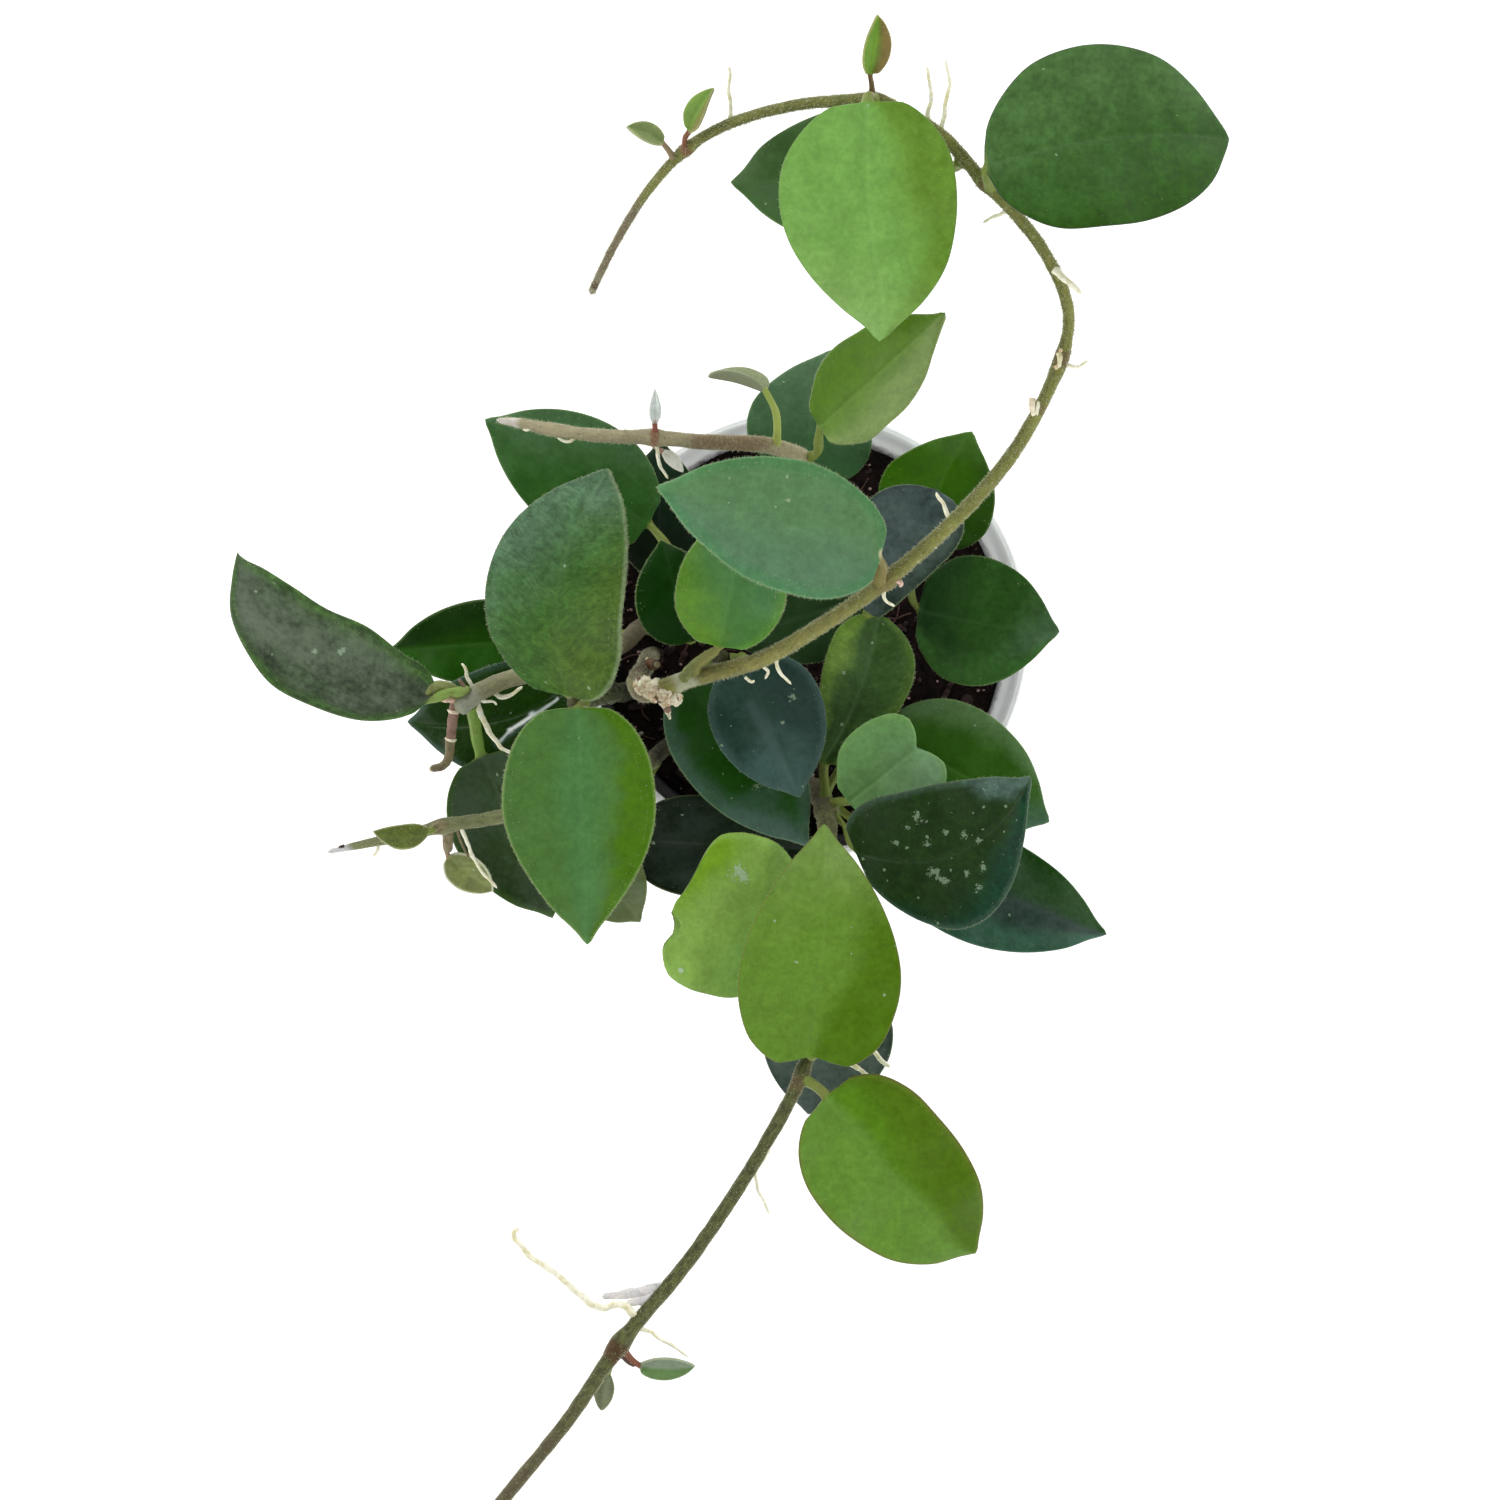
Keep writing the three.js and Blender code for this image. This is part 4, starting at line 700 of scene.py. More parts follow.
def makeLeaf(node):
    look = {**plainLeaf, **leafLooks[node]}
    rings = readRings(node)
    small = len(rings) <= 9
    throat = 3 if small else 4
    middle = rings.mean(axis=1, keepdims=True)
    inward = unit(middle[:1] - middle[1:2])
    sunk = middle[:1] + (rings[:1] - middle[:1]) * 1.25 + inward * leafShape["sunk"] * mm
    rings[1:throat - 1] = rings[:throat - 2] * 0.25 + rings[1:throat - 1] * 0.5 + rings[2:throat] * 0.25
    rings = np.concatenate([sunk, rings])

    # Stations closer than the solid's rings
    step = leafShape["step"] * (0.5 if small else 1) * mm
    centres = rings.mean(axis=1)
    stations = [0.0]
    for i in range(len(rings) - 1):
        parts = max(2, round(float(np.linalg.norm(centres[i + 1] - centres[i])) / step))
        stations += [i + (p + 1) / parts for p in range(parts)]
    fine = alongCurve(rings, stations)
    mids = (fine[:, :5] + fine[:, 9:4:-1]) / 2
    halves = (fine[:, :5] - fine[:, 9:4:-1]) / 2
    count = len(stations)

    # Distance along the middle, nought at the throat and one at the tip
    steps = np.linalg.norm(np.diff(mids[:, 2], axis=0), axis=1)
    run = np.concatenate([[0], np.cumsum(steps)])
    start = run[stations.index(float(throat))]
    bladeLength = run[-1] - start
    along = (run - start) / bladeLength
    halfWide = np.linalg.norm(mids[:, 4] - mids[:, 0], axis=1) / 2

    # Places across: close at the margins and at the midrib
    spread = np.linspace(-1, 1, 13 if small else leafShape["across"])
    spread = np.sign(spread) * np.abs(spread) ** 1.3
    gap = np.linalg.norm(mids[:, 4] - mids[:, 3], axis=1)
    soft = np.minimum(leafShape["margin"] * mm / np.maximum(gap, 1e-6), 0.9)
    inner = 2 + (2 - soft) * spread[:, None]
    turns = np.radians([0, 30, 60])[:, None]
    left = soft * (1 - np.cos(turns))
    w = np.concatenate([left, inner, (4 - left)[::-1]])
    full = np.concatenate([np.sin(turns), np.ones((len(spread), 1)), np.sin(turns)[::-1]])
    mid = alongCurve(np.swapaxes(mids, 0, 1), w)
    half = alongCurve(np.swapaxes(halves, 0, 1), w)
    share = np.interp(w, range(5), leafShape["ribs"])
    up = unit(halves[:, 2])[None]

    # The last millimetre closes in a rounded point
    fromTip = run[-1] - run
    pointed = halfWide[-1] < 1.2 * mm
    closing = (0.7 if pointed else 0.5) * mm
    close = np.sqrt(np.clip(1 - (1 - np.clip(fromTip / closing, 0, 1)) ** 2, 0.0, 1))
    close = np.maximum(close, 0.08)[None, :, None]
    half = half * close
    if pointed:
        mid = mids[None, :, 2] + (mid - mids[None, :, 2]) * close

    # Midrib and a little unevenness
    onBlade = np.clip(along / 0.08, 0, 1) * np.clip((1 - along) / 0.1, 0, 1)
    offMiddle = np.abs(share) * halfWide[None] / mm
    rippled = np.zeros(mid.shape[:2])
    height = leafShape["ripple"] * (0.3 if small else 1) * mm
    for i in range(mid.shape[0]):
        for j in range(mid.shape[1]):
            if onBlade[j] > 0:
                rippled[i, j] = noise.noise(Vector(mid[i, j]) * 62) * height * onBlade[j]
    toTip = np.clip(along, 0, 1)
    groove = leafShape["groove"] * mm * np.exp(-(offMiddle / 0.6) ** 2) * onBlade * (1 - 0.5 * toTip)
    rib = leafShape["rib"] * mm * np.exp(-(offMiddle / 0.8) ** 2) * onBlade * (1 - 0.8 * toTip)
    if small:
        groove, rib = groove * 0.4, rib * 0.4
    slant = along[None] * bladeLength / mm - leafShape["veinSlope"] * offMiddle
    swell = 0.5 - 0.5 * np.cos(2 * math.pi * slant / max(bladeLength / mm / leafShape["sideVeins"], 1.5))
    inside = np.clip(offMiddle / 2, 0, 1) * np.clip((1 - np.abs(share)) / 0.3, 0, 1)
    pillow = leafShape["pillow"] * mm * swell * inside
    lift = (rippled + pillow * onBlade * (0 if small else 1))[..., None] * up
    top = mid + half * full[..., None] + lift - groove[..., None] * up
    below = mid - half * full[..., None] + lift - rib[..., None] * up

    # Small notches and bumps of the margin, pulled back along the blade
    for x, y, high, wide, depth in look["dents"]:
        spot = np.array(placeOf(x, y, high)) * mm
        back = unit(mids[0, 2] - mids[-1, 2])
        for layer in (top, below):
            away = np.linalg.norm((layer - spot)[..., :2], axis=-1) / (wide * mm)
            layer += (np.clip(1 - away ** 2, 0, 1) ** 2 * depth * mm)[..., None] * back

    ring = np.concatenate([top, below[-2:0:-1]])
    size = len(ring)
    points = np.swapaxes(ring, 0, 1).reshape(-1, 3)
    shareRing = np.concatenate([share, share[-2:0:-1]])
    underRing = np.concatenate([np.zeros(len(top)), np.ones(len(top) - 2)])
    underRing[[0, len(top) - 1]] = 0.4
    places = np.stack([
        np.broadcast_to(along, shareRing.shape), shareRing,
        np.broadcast_to(halfWide / mm, shareRing.shape),
        np.broadcast_to(underRing[:, None], shareRing.shape),
    ], axis=-1)
    heap = Heap()
    heap.add(points, ringFaces(count, size), 0, np.swapaxes(places, 0, 1).reshape(-1, 4))

    # Short hairs on the margin and all round the stalk
    rng = random.Random(node)
    edge = {-1: top[:6], 1: top[:-7:-1]}
    roots, ways, reach = [], [], []
    bladeStations = [j for j in range(count - 1) if along[j] > 0.02]
    stalkStations = [j for j in range(count - 1) if along[j] < 0]
    for i in range(int(look["hair"] * bladeLength / mm * 2)):
        rows = edge[rng.choice((-1, 1))]
        j = rng.choice(bladeStations)
        t = rng.random()
        k = min(5, int(rng.random() ** 2 * 6))
        root = rows[k, j] * (1 - t) + rows[k, j + 1] * t
        out = unit(rows[0, j] - rows[5, j])
        onward = unit(rows[0, j + 1] - rows[0, j])
        way = out + onward * rng.uniform(-0.5, 0.7) + up[0, j] * rng.uniform(-0.3, 0.9 if k < 2 else 1.6)
        roots.append(root)
        ways.append(way)
        reach.append(look["hairLength"] * rng.uniform(0.55, 1.25) * mm)
    for i in range(int((look["hair"] + 2) * start / mm)):
        j, k, t = rng.choice(stalkStations), rng.randrange(size), rng.random()
        roots.append(ring[k, j] * (1 - t) + ring[k, j + 1] * t)
        onward = unit(mids[j + 1, 2] - mids[j, 2])
        ways.append(ring[k, j] - fine[j].mean(axis=0) + onward * mm * rng.uniform(-0.3, 0.8))
        reach.append(leafShape["stalkHair"] * rng.uniform(0.55, 1.25) * mm)
    if roots:
        addSpikes(heap, roots, ways, reach, leafShape["hairThick"] * mm, 1)
    skin = leafSkin(node, look, bladeLength / mm)
    heap.piece(pieceName(node), [skin, leafFuzz], slotOf[node], [node])


leafFuzz = fuzzSkin()
for node in leafLooks:
    makeLeaf(node)
print("leaves", len(leafLooks))

# Stems and aerial roots. Places are x, y, height over the rim and radius, in mm.
stemShape = {
    "step": 0.8, "sides": 16, "rough": 0.1, "woody": 0.3,
    "bright": (0.5, -0.1, 0.86), "green": (112, 124, 62), "pore": (202, 196, 158), "dent": (52, 48, 30),
    "feltTint": (0.9, 0.88, 0.62, 1),
    "rootSides": 10, "rootStep": 0.5, "rootBend": 0.6,
}
stemLooks = {
    "loop_vine": {"bark": (116, 102, 84), "barkEnd": 0.16, "old": (150, 144, 78), "young": (126, 128, 62),
                  "tip": (190, 196, 160), "hair": 34, "reach": 0.5},
    "back_vine": {"bark": (120, 104, 80), "barkEnd": 0.3, "old": (170, 158, 120), "young": (178, 166, 136),
                  "tip": (214, 208, 190), "hair": 26, "reach": 0.5},
    "left_stem": {"bark": (118, 108, 86), "barkEnd": 0.5, "old": (136, 136, 104), "young": (146, 142, 112),
                  "tip": (160, 156, 128), "hair": 4, "reach": 0.3},
    "low_vine": {"bark": (46, 40, 30), "barkEnd": 0.3, "old": (118, 122, 92), "young": (124, 128, 90),
                 "tip": (206, 204, 196), "hair": 12, "reach": 0.36},
    "front_vine": {"bark": (120, 108, 88), "barkEnd": 0.2, "old": (102, 100, 68), "young": (78, 80, 44),
                   "tip": (100, 98, 66), "hair": 12, "reach": 0.34},
    "right_stem": {"bark": (40, 38, 24), "barkEnd": 0.8, "old": (40, 38, 24), "young": (38, 40, 22),
                   "tip": (70, 66, 44), "hair": 2, "reach": 0.3},
    "crown_stem": {"bark": (50, 58, 40), "barkEnd": 0.6, "old": (50, 58, 40), "young": (50, 62, 40),
                   "tip": (92, 88, 60), "hair": 3, "reach": 0.3},
}
stemLooks["back_stem"] = stemLooks["middle_stem"] = stemLooks["right_stem"]
for look in stemLooks.values():
    look["felt"] = 0.6 if look["hair"] > 10 else 0.2
    look["thick"] = 0.07 if look["hair"] > 10 else 0.04
    look["pores"] = 0.1 if look["hair"] < 20 else 0.26
    look["shade"] = 0.82 if look["hair"] < 10 else 0.62
stemLooks["back_vine"]["shade"] = 0.8
stemRuns = {
    "loop_vine": {
        "run": [
            [-34, -5, -30, 2.3], [-37.6, -5.4, -6, 2.1], [-38.6, -7.6, 12, 2.1], [-41, -12, 21, 2.15],
            [-39, -14, 27, 2.35], [-33.6, -13.2, 30.5, 2.3], [-28, -11, 32, 2.0], [-11, -6.5, 40, 1.8],
            [6.5, 3.5, 48, 1.7], [20, 13, 55, 1.7], [35.5, 26.5, 62, 1.55], [50.8, 43.8, 70, 1.48],
            [63, 67.5, 80, 1.25], [64.6, 79, 85, 1.15], [59.4, 92.3, 91.5, 1.15], [50.5, 104, 97, 1.2],
            [44.5, 110, 100, 1.25], [33.5, 122, 103, 1.2], [23.5, 128, 103, 1.2], [17.5, 130.5, 102, 1.2],
            [10, 130.4, 100, 1.15], [-3.5, 129, 96, 1.05], [-18.5, 124.6, 90, 1.05], [-28.7, 118.6, 84, 1.05],
            [-38, 108.5, 78, 0.9], [-46.4, 95, 72, 0.82], [-52.2, 83, 66, 0.75],
        ],
        "joints": [[4, 1.15], [9, 1.35], [12, 1.3], [16, 1.3], [19, 1.3], [23, 1.35]],
        "roots": [
            ["cream", 0.5, [-18, 125.5, 90], [-18, 131.5, 92], [-18.5, 139, 94]],
            ["cream", 0.5, [30, 125.5, 103], [31, 132, 106], [30.5, 138.5, 107]],
            ["cream", 0.5, [33.5, 123, 103], [35.5, 132, 106], [35, 140.5, 108]],
            ["cream", 0.5, [50.5, 104, 97], [47, 102, 96], [43.5, 100.5, 95]],
            ["cream", 0.85, [61, 89.5, 90.5], [64, 86.8, 91], [68.2, 83, 90]],
            ["cream", 0.5, [62, 67.5, 80], [66.5, 65.5, 80], [69.5, 66.5, 80]],
            ["cream", 0.6, [62.4, 68.5, 81.6], [62.2, 66.8, 82], [61.8, 65, 81.2]],
            ["cream", 0.5, [57.6, 56.8, 75.8], [57, 55.2, 76], [57.2, 53.6, 75.6]],
            ["cream", 0.6, [36.2, 27, 62], [34.6, 30.4, 61.4], [34, 32.6, 61], [32.4, 34.8, 60]],
            ["cream", 0.5, [20, 13, 55], [19.5, 8.5, 54], [22, 7, 53]],
            ["cream", 0.5, [-7, -4.5, 42], [-6, -9, 41], [-3.5, -12.5, 40]],
            ["cream", 0.5, [-11, -6.5, 40], [-9, -9.5, 39], [-9.5, -11.5, 38]],
            ["cork", 1.0, [-36.5, -14, 27], [-33.9, -17.5, 28], [-33.1, -19.8, 29]],
        ],
    },
    "back_vine": {
        "run": [
            [-9.5, 28, -38, 2], [-9.5, 28, -6, 2], [-4.5, 35, 16, 1.9], [-1, 43, 34, 1.9],
            [-8.5, 46, 39, 1.8], [-25.5, 47, 42, 1.7], [-36.5, 48, 43, 1.6], [-50, 48.5, 43, 1.5],
            [-62, 50, 42, 1.35], [-70, 51.6, 40.8, 1.15], [-75.2, 52.3, 40, 0.5],
        ],
        "joints": [[3, 1.25], [6, 1.3], [8, 1.15]],
        "roots": [
            ["cream", 0.5, [-36.5, 48, 43], [-35.5, 42, 42], [-33, 38, 41]],
            ["cream", 0.5, [-55.6, 48.4, 42.4], [-57.4, 47.2, 42.6], [-60.4, 47.8, 42.4]],
        ],
    },
    "left_stem": {
        "run": [
            [-36, 1.5, -30, 2.3], [-40, 1.5, -6, 2.3], [-44.5, -2.5, 10, 2.2], [-55, -7.5, 22, 2.1],
            [-66, -9.5, 28, 2], [-72, -11, 31, 2], [-78, -13.5, 33, 2.1], [-85.4, -18.6, 34, 2.3],
        ],
        "joints": [[4, 1.15], [7, 1.2]],
        "roots": [
            ["bark", 1.35, [-84.6, -16, 34], [-85.7, -19.5, 33], [-86.1, -23, 32.4], [-86.4, -26.4, 32]],
            ["olive", 1.15, [-86.4, -25.6, 32], [-87, -30.6, 31.2], [-88.6, -32.4, 30.8], [-91.4, -33, 30.3]],
            ["cream", 0.5, [-81, -13.4, 33.5], [-82, -10.6, 35], [-83, -8.3, 36.5], [-83.9, -7.2, 37]],
            ["cream", 0.75, [-80.6, -15.4, 33], [-78.3, -21.2, 31], [-76.2, -25.2, 30], [-73.6, -27.8, 29],
             [-69.8, -30, 28]],
            ["cream", 0.65, [-76.5, -13.6, 32], [-74, -15.4, 31.6], [-71.4, -14.6, 31.6], [-68.8, -13, 31.6]],
        ],
    },
    "low_vine": {
        "run": [
            [-29, -24, -30, 2], [-34, -28, -6, 2], [-40, -33, 9, 1.9], [-50, -38, 21, 1.8],
            [-59.5, -41, 28, 1.7], [-73, -44.5, 33, 1.6], [-88, -47, 35, 1.5], [-101, -50, 36, 1.15],
            [-110, -51.9, 35.4, 0.9], [-116.6, -53.4, 35, 0.4],
        ],
        "joints": [[3, 1.2], [6, 1.3], [7, 1.2]],
        "roots": [
            ["cream", 0.55, [-84, -47, 35], [-81.8, -52, 34], [-80, -56.4, 33], [-75, -62, 32]],
            ["olive", 0.35, [-85, -47.5, 35], [-83.8, -51, 33.6], [-81.8, -55, 33]],
        ],
    },
    "front_vine": {
        "run": [
            [2.5, -38, -38, 2.5], [2.5, -38, -6, 2.6], [5.5, -43.5, 12, 2.5], [5.5, -55.5, 22, 2.1],
            [4, -77.5, 32, 1.8], [2, -97, 41, 1.6], [-0.3, -107, 46, 1.6], [-10.2, -126, 54, 1.48],
            [-27.3, -152, 66, 1.5], [-45.3, -174, 78, 1.6], [-57.5, -192, 88, 1.4],
            [-73.4, -211.5, 97, 1.3], [-84.8, -226.5, 103, 1.15], [-91, -236, 106, 0.8],
        ],
        "joints": [[2, 1.25], [6, 1.2], [9, 1.4], [12, 1.25]],
        "roots": [
            ["cream", 0.8, [2.5, -95, 40], [9, -103, 40], [16, -108.5, 39]],
            ["cream", 0.85, [2.8, -92, 39], [14, -99.5, 40], [21, -106, 39]],
            ["cream", 0.5, [-8.5, -126, 54], [-12, -132.5, 54], [-8.5, -142, 53]],
            ["cream", 0.85, [-40, -168.5, 74.5], [-44, -164.3, 75], [-49, -164.8, 75], [-55, -161.9, 75.5],
             [-58, -158.2, 76], [-67.7, -151.6, 77], [-70.9, -146.8, 78], [-69.6, -145, 78.5]],
            ["paper", 1.6, [-34.3, -160.3, 70.4], [-41.3, -161.2, 73], [-49.4, -162.1, 74.5]],
            ["cream", 0.5, [-41, -169.5, 75.5], [-37, -171, 75], [-28, -177, 74]],
        ],
    },
    "right_stem": {
        "run": [[26, 19, -38, 2], [26, 19, -6, 2], [25, 17, 8, 1.9], [20.5, 10.5, 20, 1.7]],
        "joints": [[2, 1.15], [3, 1.2]], "roots": [],
    },
    "back_stem": {
        "run": [[-25.5, 8.5, -38, 2], [-25.5, 8.5, -6, 2], [-26, 8.5, 8, 1.9], [-27, 7.5, 20, 1.7]],
        "joints": [[2, 1.15], [3, 1.2]], "roots": [],
    },
    "middle_stem": {
        "run": [[-20.5, -6, -38, 2], [-20.5, -6, -6, 2], [-20.5, -6, 8, 1.8], [-19.5, -6, 18, 1.6]],
        "joints": [[2, 1.15], [3, 1.2]], "roots": [],
    },
    "crown_stem": {
        "run": [
            [-37, -12, -30, 2.2], [-43, -14, -6, 2.2], [-47, -14.5, 10, 2.1], [-52.5, -16, 27, 1.9],
            [-56.5, -17, 43, 1.7],
        ],
        "joints": [[2, 1.15], [4, 1.2]], "roots": [],
    },
}

# Pale roots and scars that lie close on the skin of a stem, and a cut stub
skinBits = {
    "loop_vine": [
        ["cream", 0.42, [22.6, 13.4, 56.4], [25, 15.8, 57.6], [27.8, 17.8, 59], [30.4, 20.6, 60.4],
         [32.4, 21.4, 60.4]],
        ["pink", 0.5, [22.2, 13, 56], [23.8, 12.4, 56.4], [23.4, 11.4, 56]],
        ["brown", 1.5, [-38, -7.4, 14], [-36.6, -7.5, 18], [-36, -7.5, 20.4]],
        ["dark", 1.15, [-36.1, -7.5, 19.6], [-35.9, -7.5, 21]],
        ["olive", 0.8, [-36, -7.5, 20.4], [-35.8, -7.5, 21.4]],
        ["cream", 0.45, [-38.2, -6.2, 13.8], [-38, -6.3, 15]],
        ["green", 1.5, [-29.4, -11, 32.6], [-26.6, -7.6, 35.2], [-21.2, -3.8, 40.8]],
        ["pink", 1.0, [-32.8, -14.6, 31], [-32.2, -15.6, 31.6], [-31.8, -16.6, 31]],
        ["bark", 0.95, [-33.6, -18, 29.2], [-33.2, -19.4, 29.2]],
        ["cream", 0.5, [-33.2, -19.8, 29.2], [-32.8, -21, 29.3]],
        ["cream", 0.4, [-14.4, -10.6, 39.6], [-13, -11.4, 40], [-12, -11.2, 39.6]],
        ["cork", 0.75, [55.9, 57.6, 76], [55.7, 55.8, 75.8], [56.2, 54.2, 75.2]],
        ["cork", 0.7, [57.4, 55, 75.4], [56.2, 53.8, 75.2], [55.8, 53.2, 75]],
        ["cork", 0.5, [62.9, 69.4, 81.8], [62.4, 68.8, 82]],
        ["cork", 0.45, [61.4, 65.6, 81.4], [61.8, 64.6, 81.2]],
    ],
    "back_vine": [
        ["cream", 0.45, [-66, 50.6, 41.6], [-67.6, 50.2, 41.4], [-68.4, 50.6, 41]],
    ],
    "left_stem": [
        ["cork", 1.6, [-85.6, -18.7, 33.2], [-85.8, -20, 33]],
        ["cork", 1.35, [-86.3, -25.6, 32.1], [-86.5, -26.8, 31.9]],
        ["cream", 0.75, [-91, -33, 30.4], [-92, -33, 30.1]],
        ["green", 1.5, [-84.8, -14.8, 34.4], [-86.8, -13.2, 36], [-89.6, -12.8, 37.4], [-92, -13.9, 38.1],
         [-93.2, -15.6, 38.1]],
        ["pink", 0.9, [-85.2, -16.2, 34.4], [-88.4, -15.8, 35.6], [-91.8, -16, 36.8]],
        ["bark", 0.5, [-82.6, -13.8, 34.4], [-83.8, -11.8, 35.6], [-84.4, -11, 36]],
        ["cream", 0.45, [-79.6, -15.4, 33.6], [-78, -16.6, 33.8], [-76, -16.4, 33.4], [-75, -17.4, 33.2]],
    ],
    "low_vine": [
        ["olive", 1.3, [-87, -47.5, 34.6], [-87, -50.5, 32.5], [-87, -53.2, 30]],
        ["olive", 1.0, [-91.4, -48.2, 36.6], [-89, -46.6, 36.8], [-86.6, -47.2, 36.2]],
        ["dark", 0.42, [-112.4, -51.9, 35.7], [-113.8, -52.3, 35.6]],
        ["cream", 0.45, [-104, -51.2, 35.6], [-104.6, -53, 35.5], [-105.2, -54.4, 35.2]],
    ],
    "front_vine": [
        ["brown", 1.15, [-44.8, -175, 77.2], [-43, -177.2, 76.5], [-40.8, -178.8, 76.1]],
        ["paper", 1.4, [-36, -162.4, 71], [-39.4, -163.2, 73.4], [-43.6, -163.6, 74]],
    ],
}

# Bands of colour on a stem: place along its run, half width in mm, colour and share
stemMarks = {
    "loop_vine": [
        [2, 9, (74, 62, 50), 0.75], [4.1, 4.6, (122, 108, 88), 0.8], [5.9, 3.8, (200, 204, 176), 0.75],
        [12.02, 1.9, (104, 84, 64), 0.75], [11.48, 1.3, (112, 94, 66), 0.6], [9, 2.2, (122, 104, 64), 0.5],
        [23, 1.4, (124, 78, 60), 0.8], [16, 1.6, (104, 84, 62), 0.6], [19, 1.6, (104, 86, 60), 0.6],
        [25, 14, (122, 106, 94), 0.75], [25.8, 0.9, (84, 58, 46), 0.85]],
    "back_vine": [
        [6, 1.0, (140, 84, 68), 0.75], [4.6, 8, (118, 92, 68), 0.75], [9.5, 3.2, (232, 224, 218), 0.75]],
    "left_stem": [[6.6, 3.4, (170, 176, 162), 0.55]],
    "low_vine": [[6.1, 1.1, (118, 102, 74), 0.6], [8.7, 4.2, (216, 218, 220), 0.85]],
    "front_vine": [
        [9.1, 2.4, (74, 46, 16), 0.85], [11.4, 30, (90, 80, 60), 0.7], [6.2, 2, (108, 88, 62), 0.5]],
}


def stemSkin(node, look, runAt):
    skin = Skin("skin of " + pieceName(node))
    spot = skin.spot()
    share, run, turn = skin.split(spot)
    streak = skin.grain(0.9, 4, 0.6, stretch=(0, 0.5, 2.6), where=spot)
    fine = skin.grain(1100, 4, 0.65)
    cloud = skin.grain(160, 4, 0.6)
    edge = skin.stray(share, cloud, 0.06)
    colour = skin.mix(skin.ramp(edge, 0.2, 0.5), look["old"], look["young"])
    bark = skin.ramp(edge, look["barkEnd"] - 0.02, look["barkEnd"] + 0.02, 1.0, 0.0)
    colour = skin.mix(bark, colour, look["bark"])
    colour = skin.mix(skin.ramp(share, 0.975, 0.995), colour, look["tip"])
    value = skin.times(skin.ramp(streak, 0.3, 0.7, 0.76, 1.22), skin.ramp(cloud, 0.3, 0.7, 0.84, 1.16))
    # The side away from the window is the darker one
    facing = skin.towards(skin.put("NewGeometry", {}).outputs["Normal"], stemShape["bright"])
    value = skin.times(value, skin.ramp(facing, 0.25, 0.85, look["shade"], 1.04))
    colour = skin.lighter(colour, value)
    greener = skin.mix(skin.ramp(streak, 0.42, 0.6, 0.0, 0.3), colour, stemShape["green"])
    colour = skin.mix(bark, greener, colour)
    for place, half, tone, weight in stemMarks.get(node, []):
        away = skin.stray(skin.size(skin.minus(run, runAt(place))), cloud, half * 1.2)
        colour = skin.mix(skin.ramp(away, half * 0.5, half * 1.2, weight, 0.0), colour, tone)
    pores = skin.ramp(fine, 0.56, 0.64)
    colour = skin.mix(skin.times(pores, look["pores"]), colour, stemShape["pore"])
    dents = skin.ramp(skin.grain(1500, 3, 0.6, seed=2.0), 0.58, 0.68)
    colour = skin.mix(skin.times(dents, 0.32), colour, stemShape["dent"])
    skin.relief(skin.plus(fine, streak), 0.5, 0.3)
    return skin.finish({
        "Base Color": colour, "Roughness": 0.62, "Specular IOR Level": 0.25,
        # Felt of hairs
        "Sheen Weight": look["felt"], "Sheen Roughness": 0.4, "Sheen Tint": stemShape["feltTint"],
    })


def rootSkin(name, pale, dark, rough=0.6):
    skin = Skin(name)
    patch = skin.grain(380, 4, 0.65)
    fine = skin.grain(1400, 4, 0.7)
    colour = skin.mix(skin.ramp(patch, 0.42, 0.68), pale, dark)
    colour = skin.lighter(colour, skin.ramp(fine, 0.3, 0.7, 0.88, 1.1))
    skin.relief(skin.plus(fine, patch), 0.6, 0.3)
    return skin.finish({"Base Color": colour, "Roughness": rough})


def carriedFrames(centres):
    # Directions across a run, carried along it without twist
    ways = unit(np.gradient(centres, axis=0))
    across = np.zeros_like(centres)
    helper = np.array([1.0, 0, 0]) if abs(ways[0, 2]) > 0.8 else np.array([0, 0, 1.0])
    across[0] = unit(np.cross(helper, ways[0]))
    for i in range(1, len(centres)):
        across[i] = unit(across[i - 1] - ways[i] * np.dot(across[i - 1], ways[i]))
    return ways, across, np.cross(ways, across)


def addTube(heap, centres, radii, sides, look, lumps=0.0, lumpScale=260, flat=1):
    ways, across, third = carriedFrames(centres)
    run = np.concatenate([[0], np.cumsum(np.linalg.norm(np.diff(centres, axis=0), axis=1))])
    radii = np.array(radii, float)
    fromEnd = np.clip((run[-1] - run) / max(radii[-1], 1e-5), 0, 1)
    radii = radii * np.maximum(np.sqrt(1 - (1 - fromEnd) ** 2), 0.12)
    turns = np.linspace(0, 2 * math.pi, sides, endpoint=False)
    points, places = [], []
    for i, centre in enumerate(centres):
        for k, turn in enumerate(turns):
            out = math.cos(turn) * across[i] + math.sin(turn) * flat * third[i]
            size = radii[i]
            if lumps:
                size *= 1 + lumps * noise.noise(Vector((centre + out * radii[i]) * lumpScale))
            points.append(centre + out * size)
            places.append((run[i] / run[-1], run[i] / mm, turn, 0))
    heap.add(points, ringFaces(len(centres), sides), look, places)
    return ways, across, third, run


def stemRadius(stem, spacing, at):
    run = stem["run"]
    low = min(int(at), len(run) - 2)
    size = run[low][3] * (1 - at + low) + run[low + 1][3] * (at - low)
    for where, swell in stem["joints"]:
        size *= 1 + (swell - 1) * math.exp(-(((at - where) * spacing[where]) ** 2) / 5)
    return size


def rootSlot(kind):
    # Roots come after the stem's own skin and its felt
    return list(rootKinds).index(kind) + 2


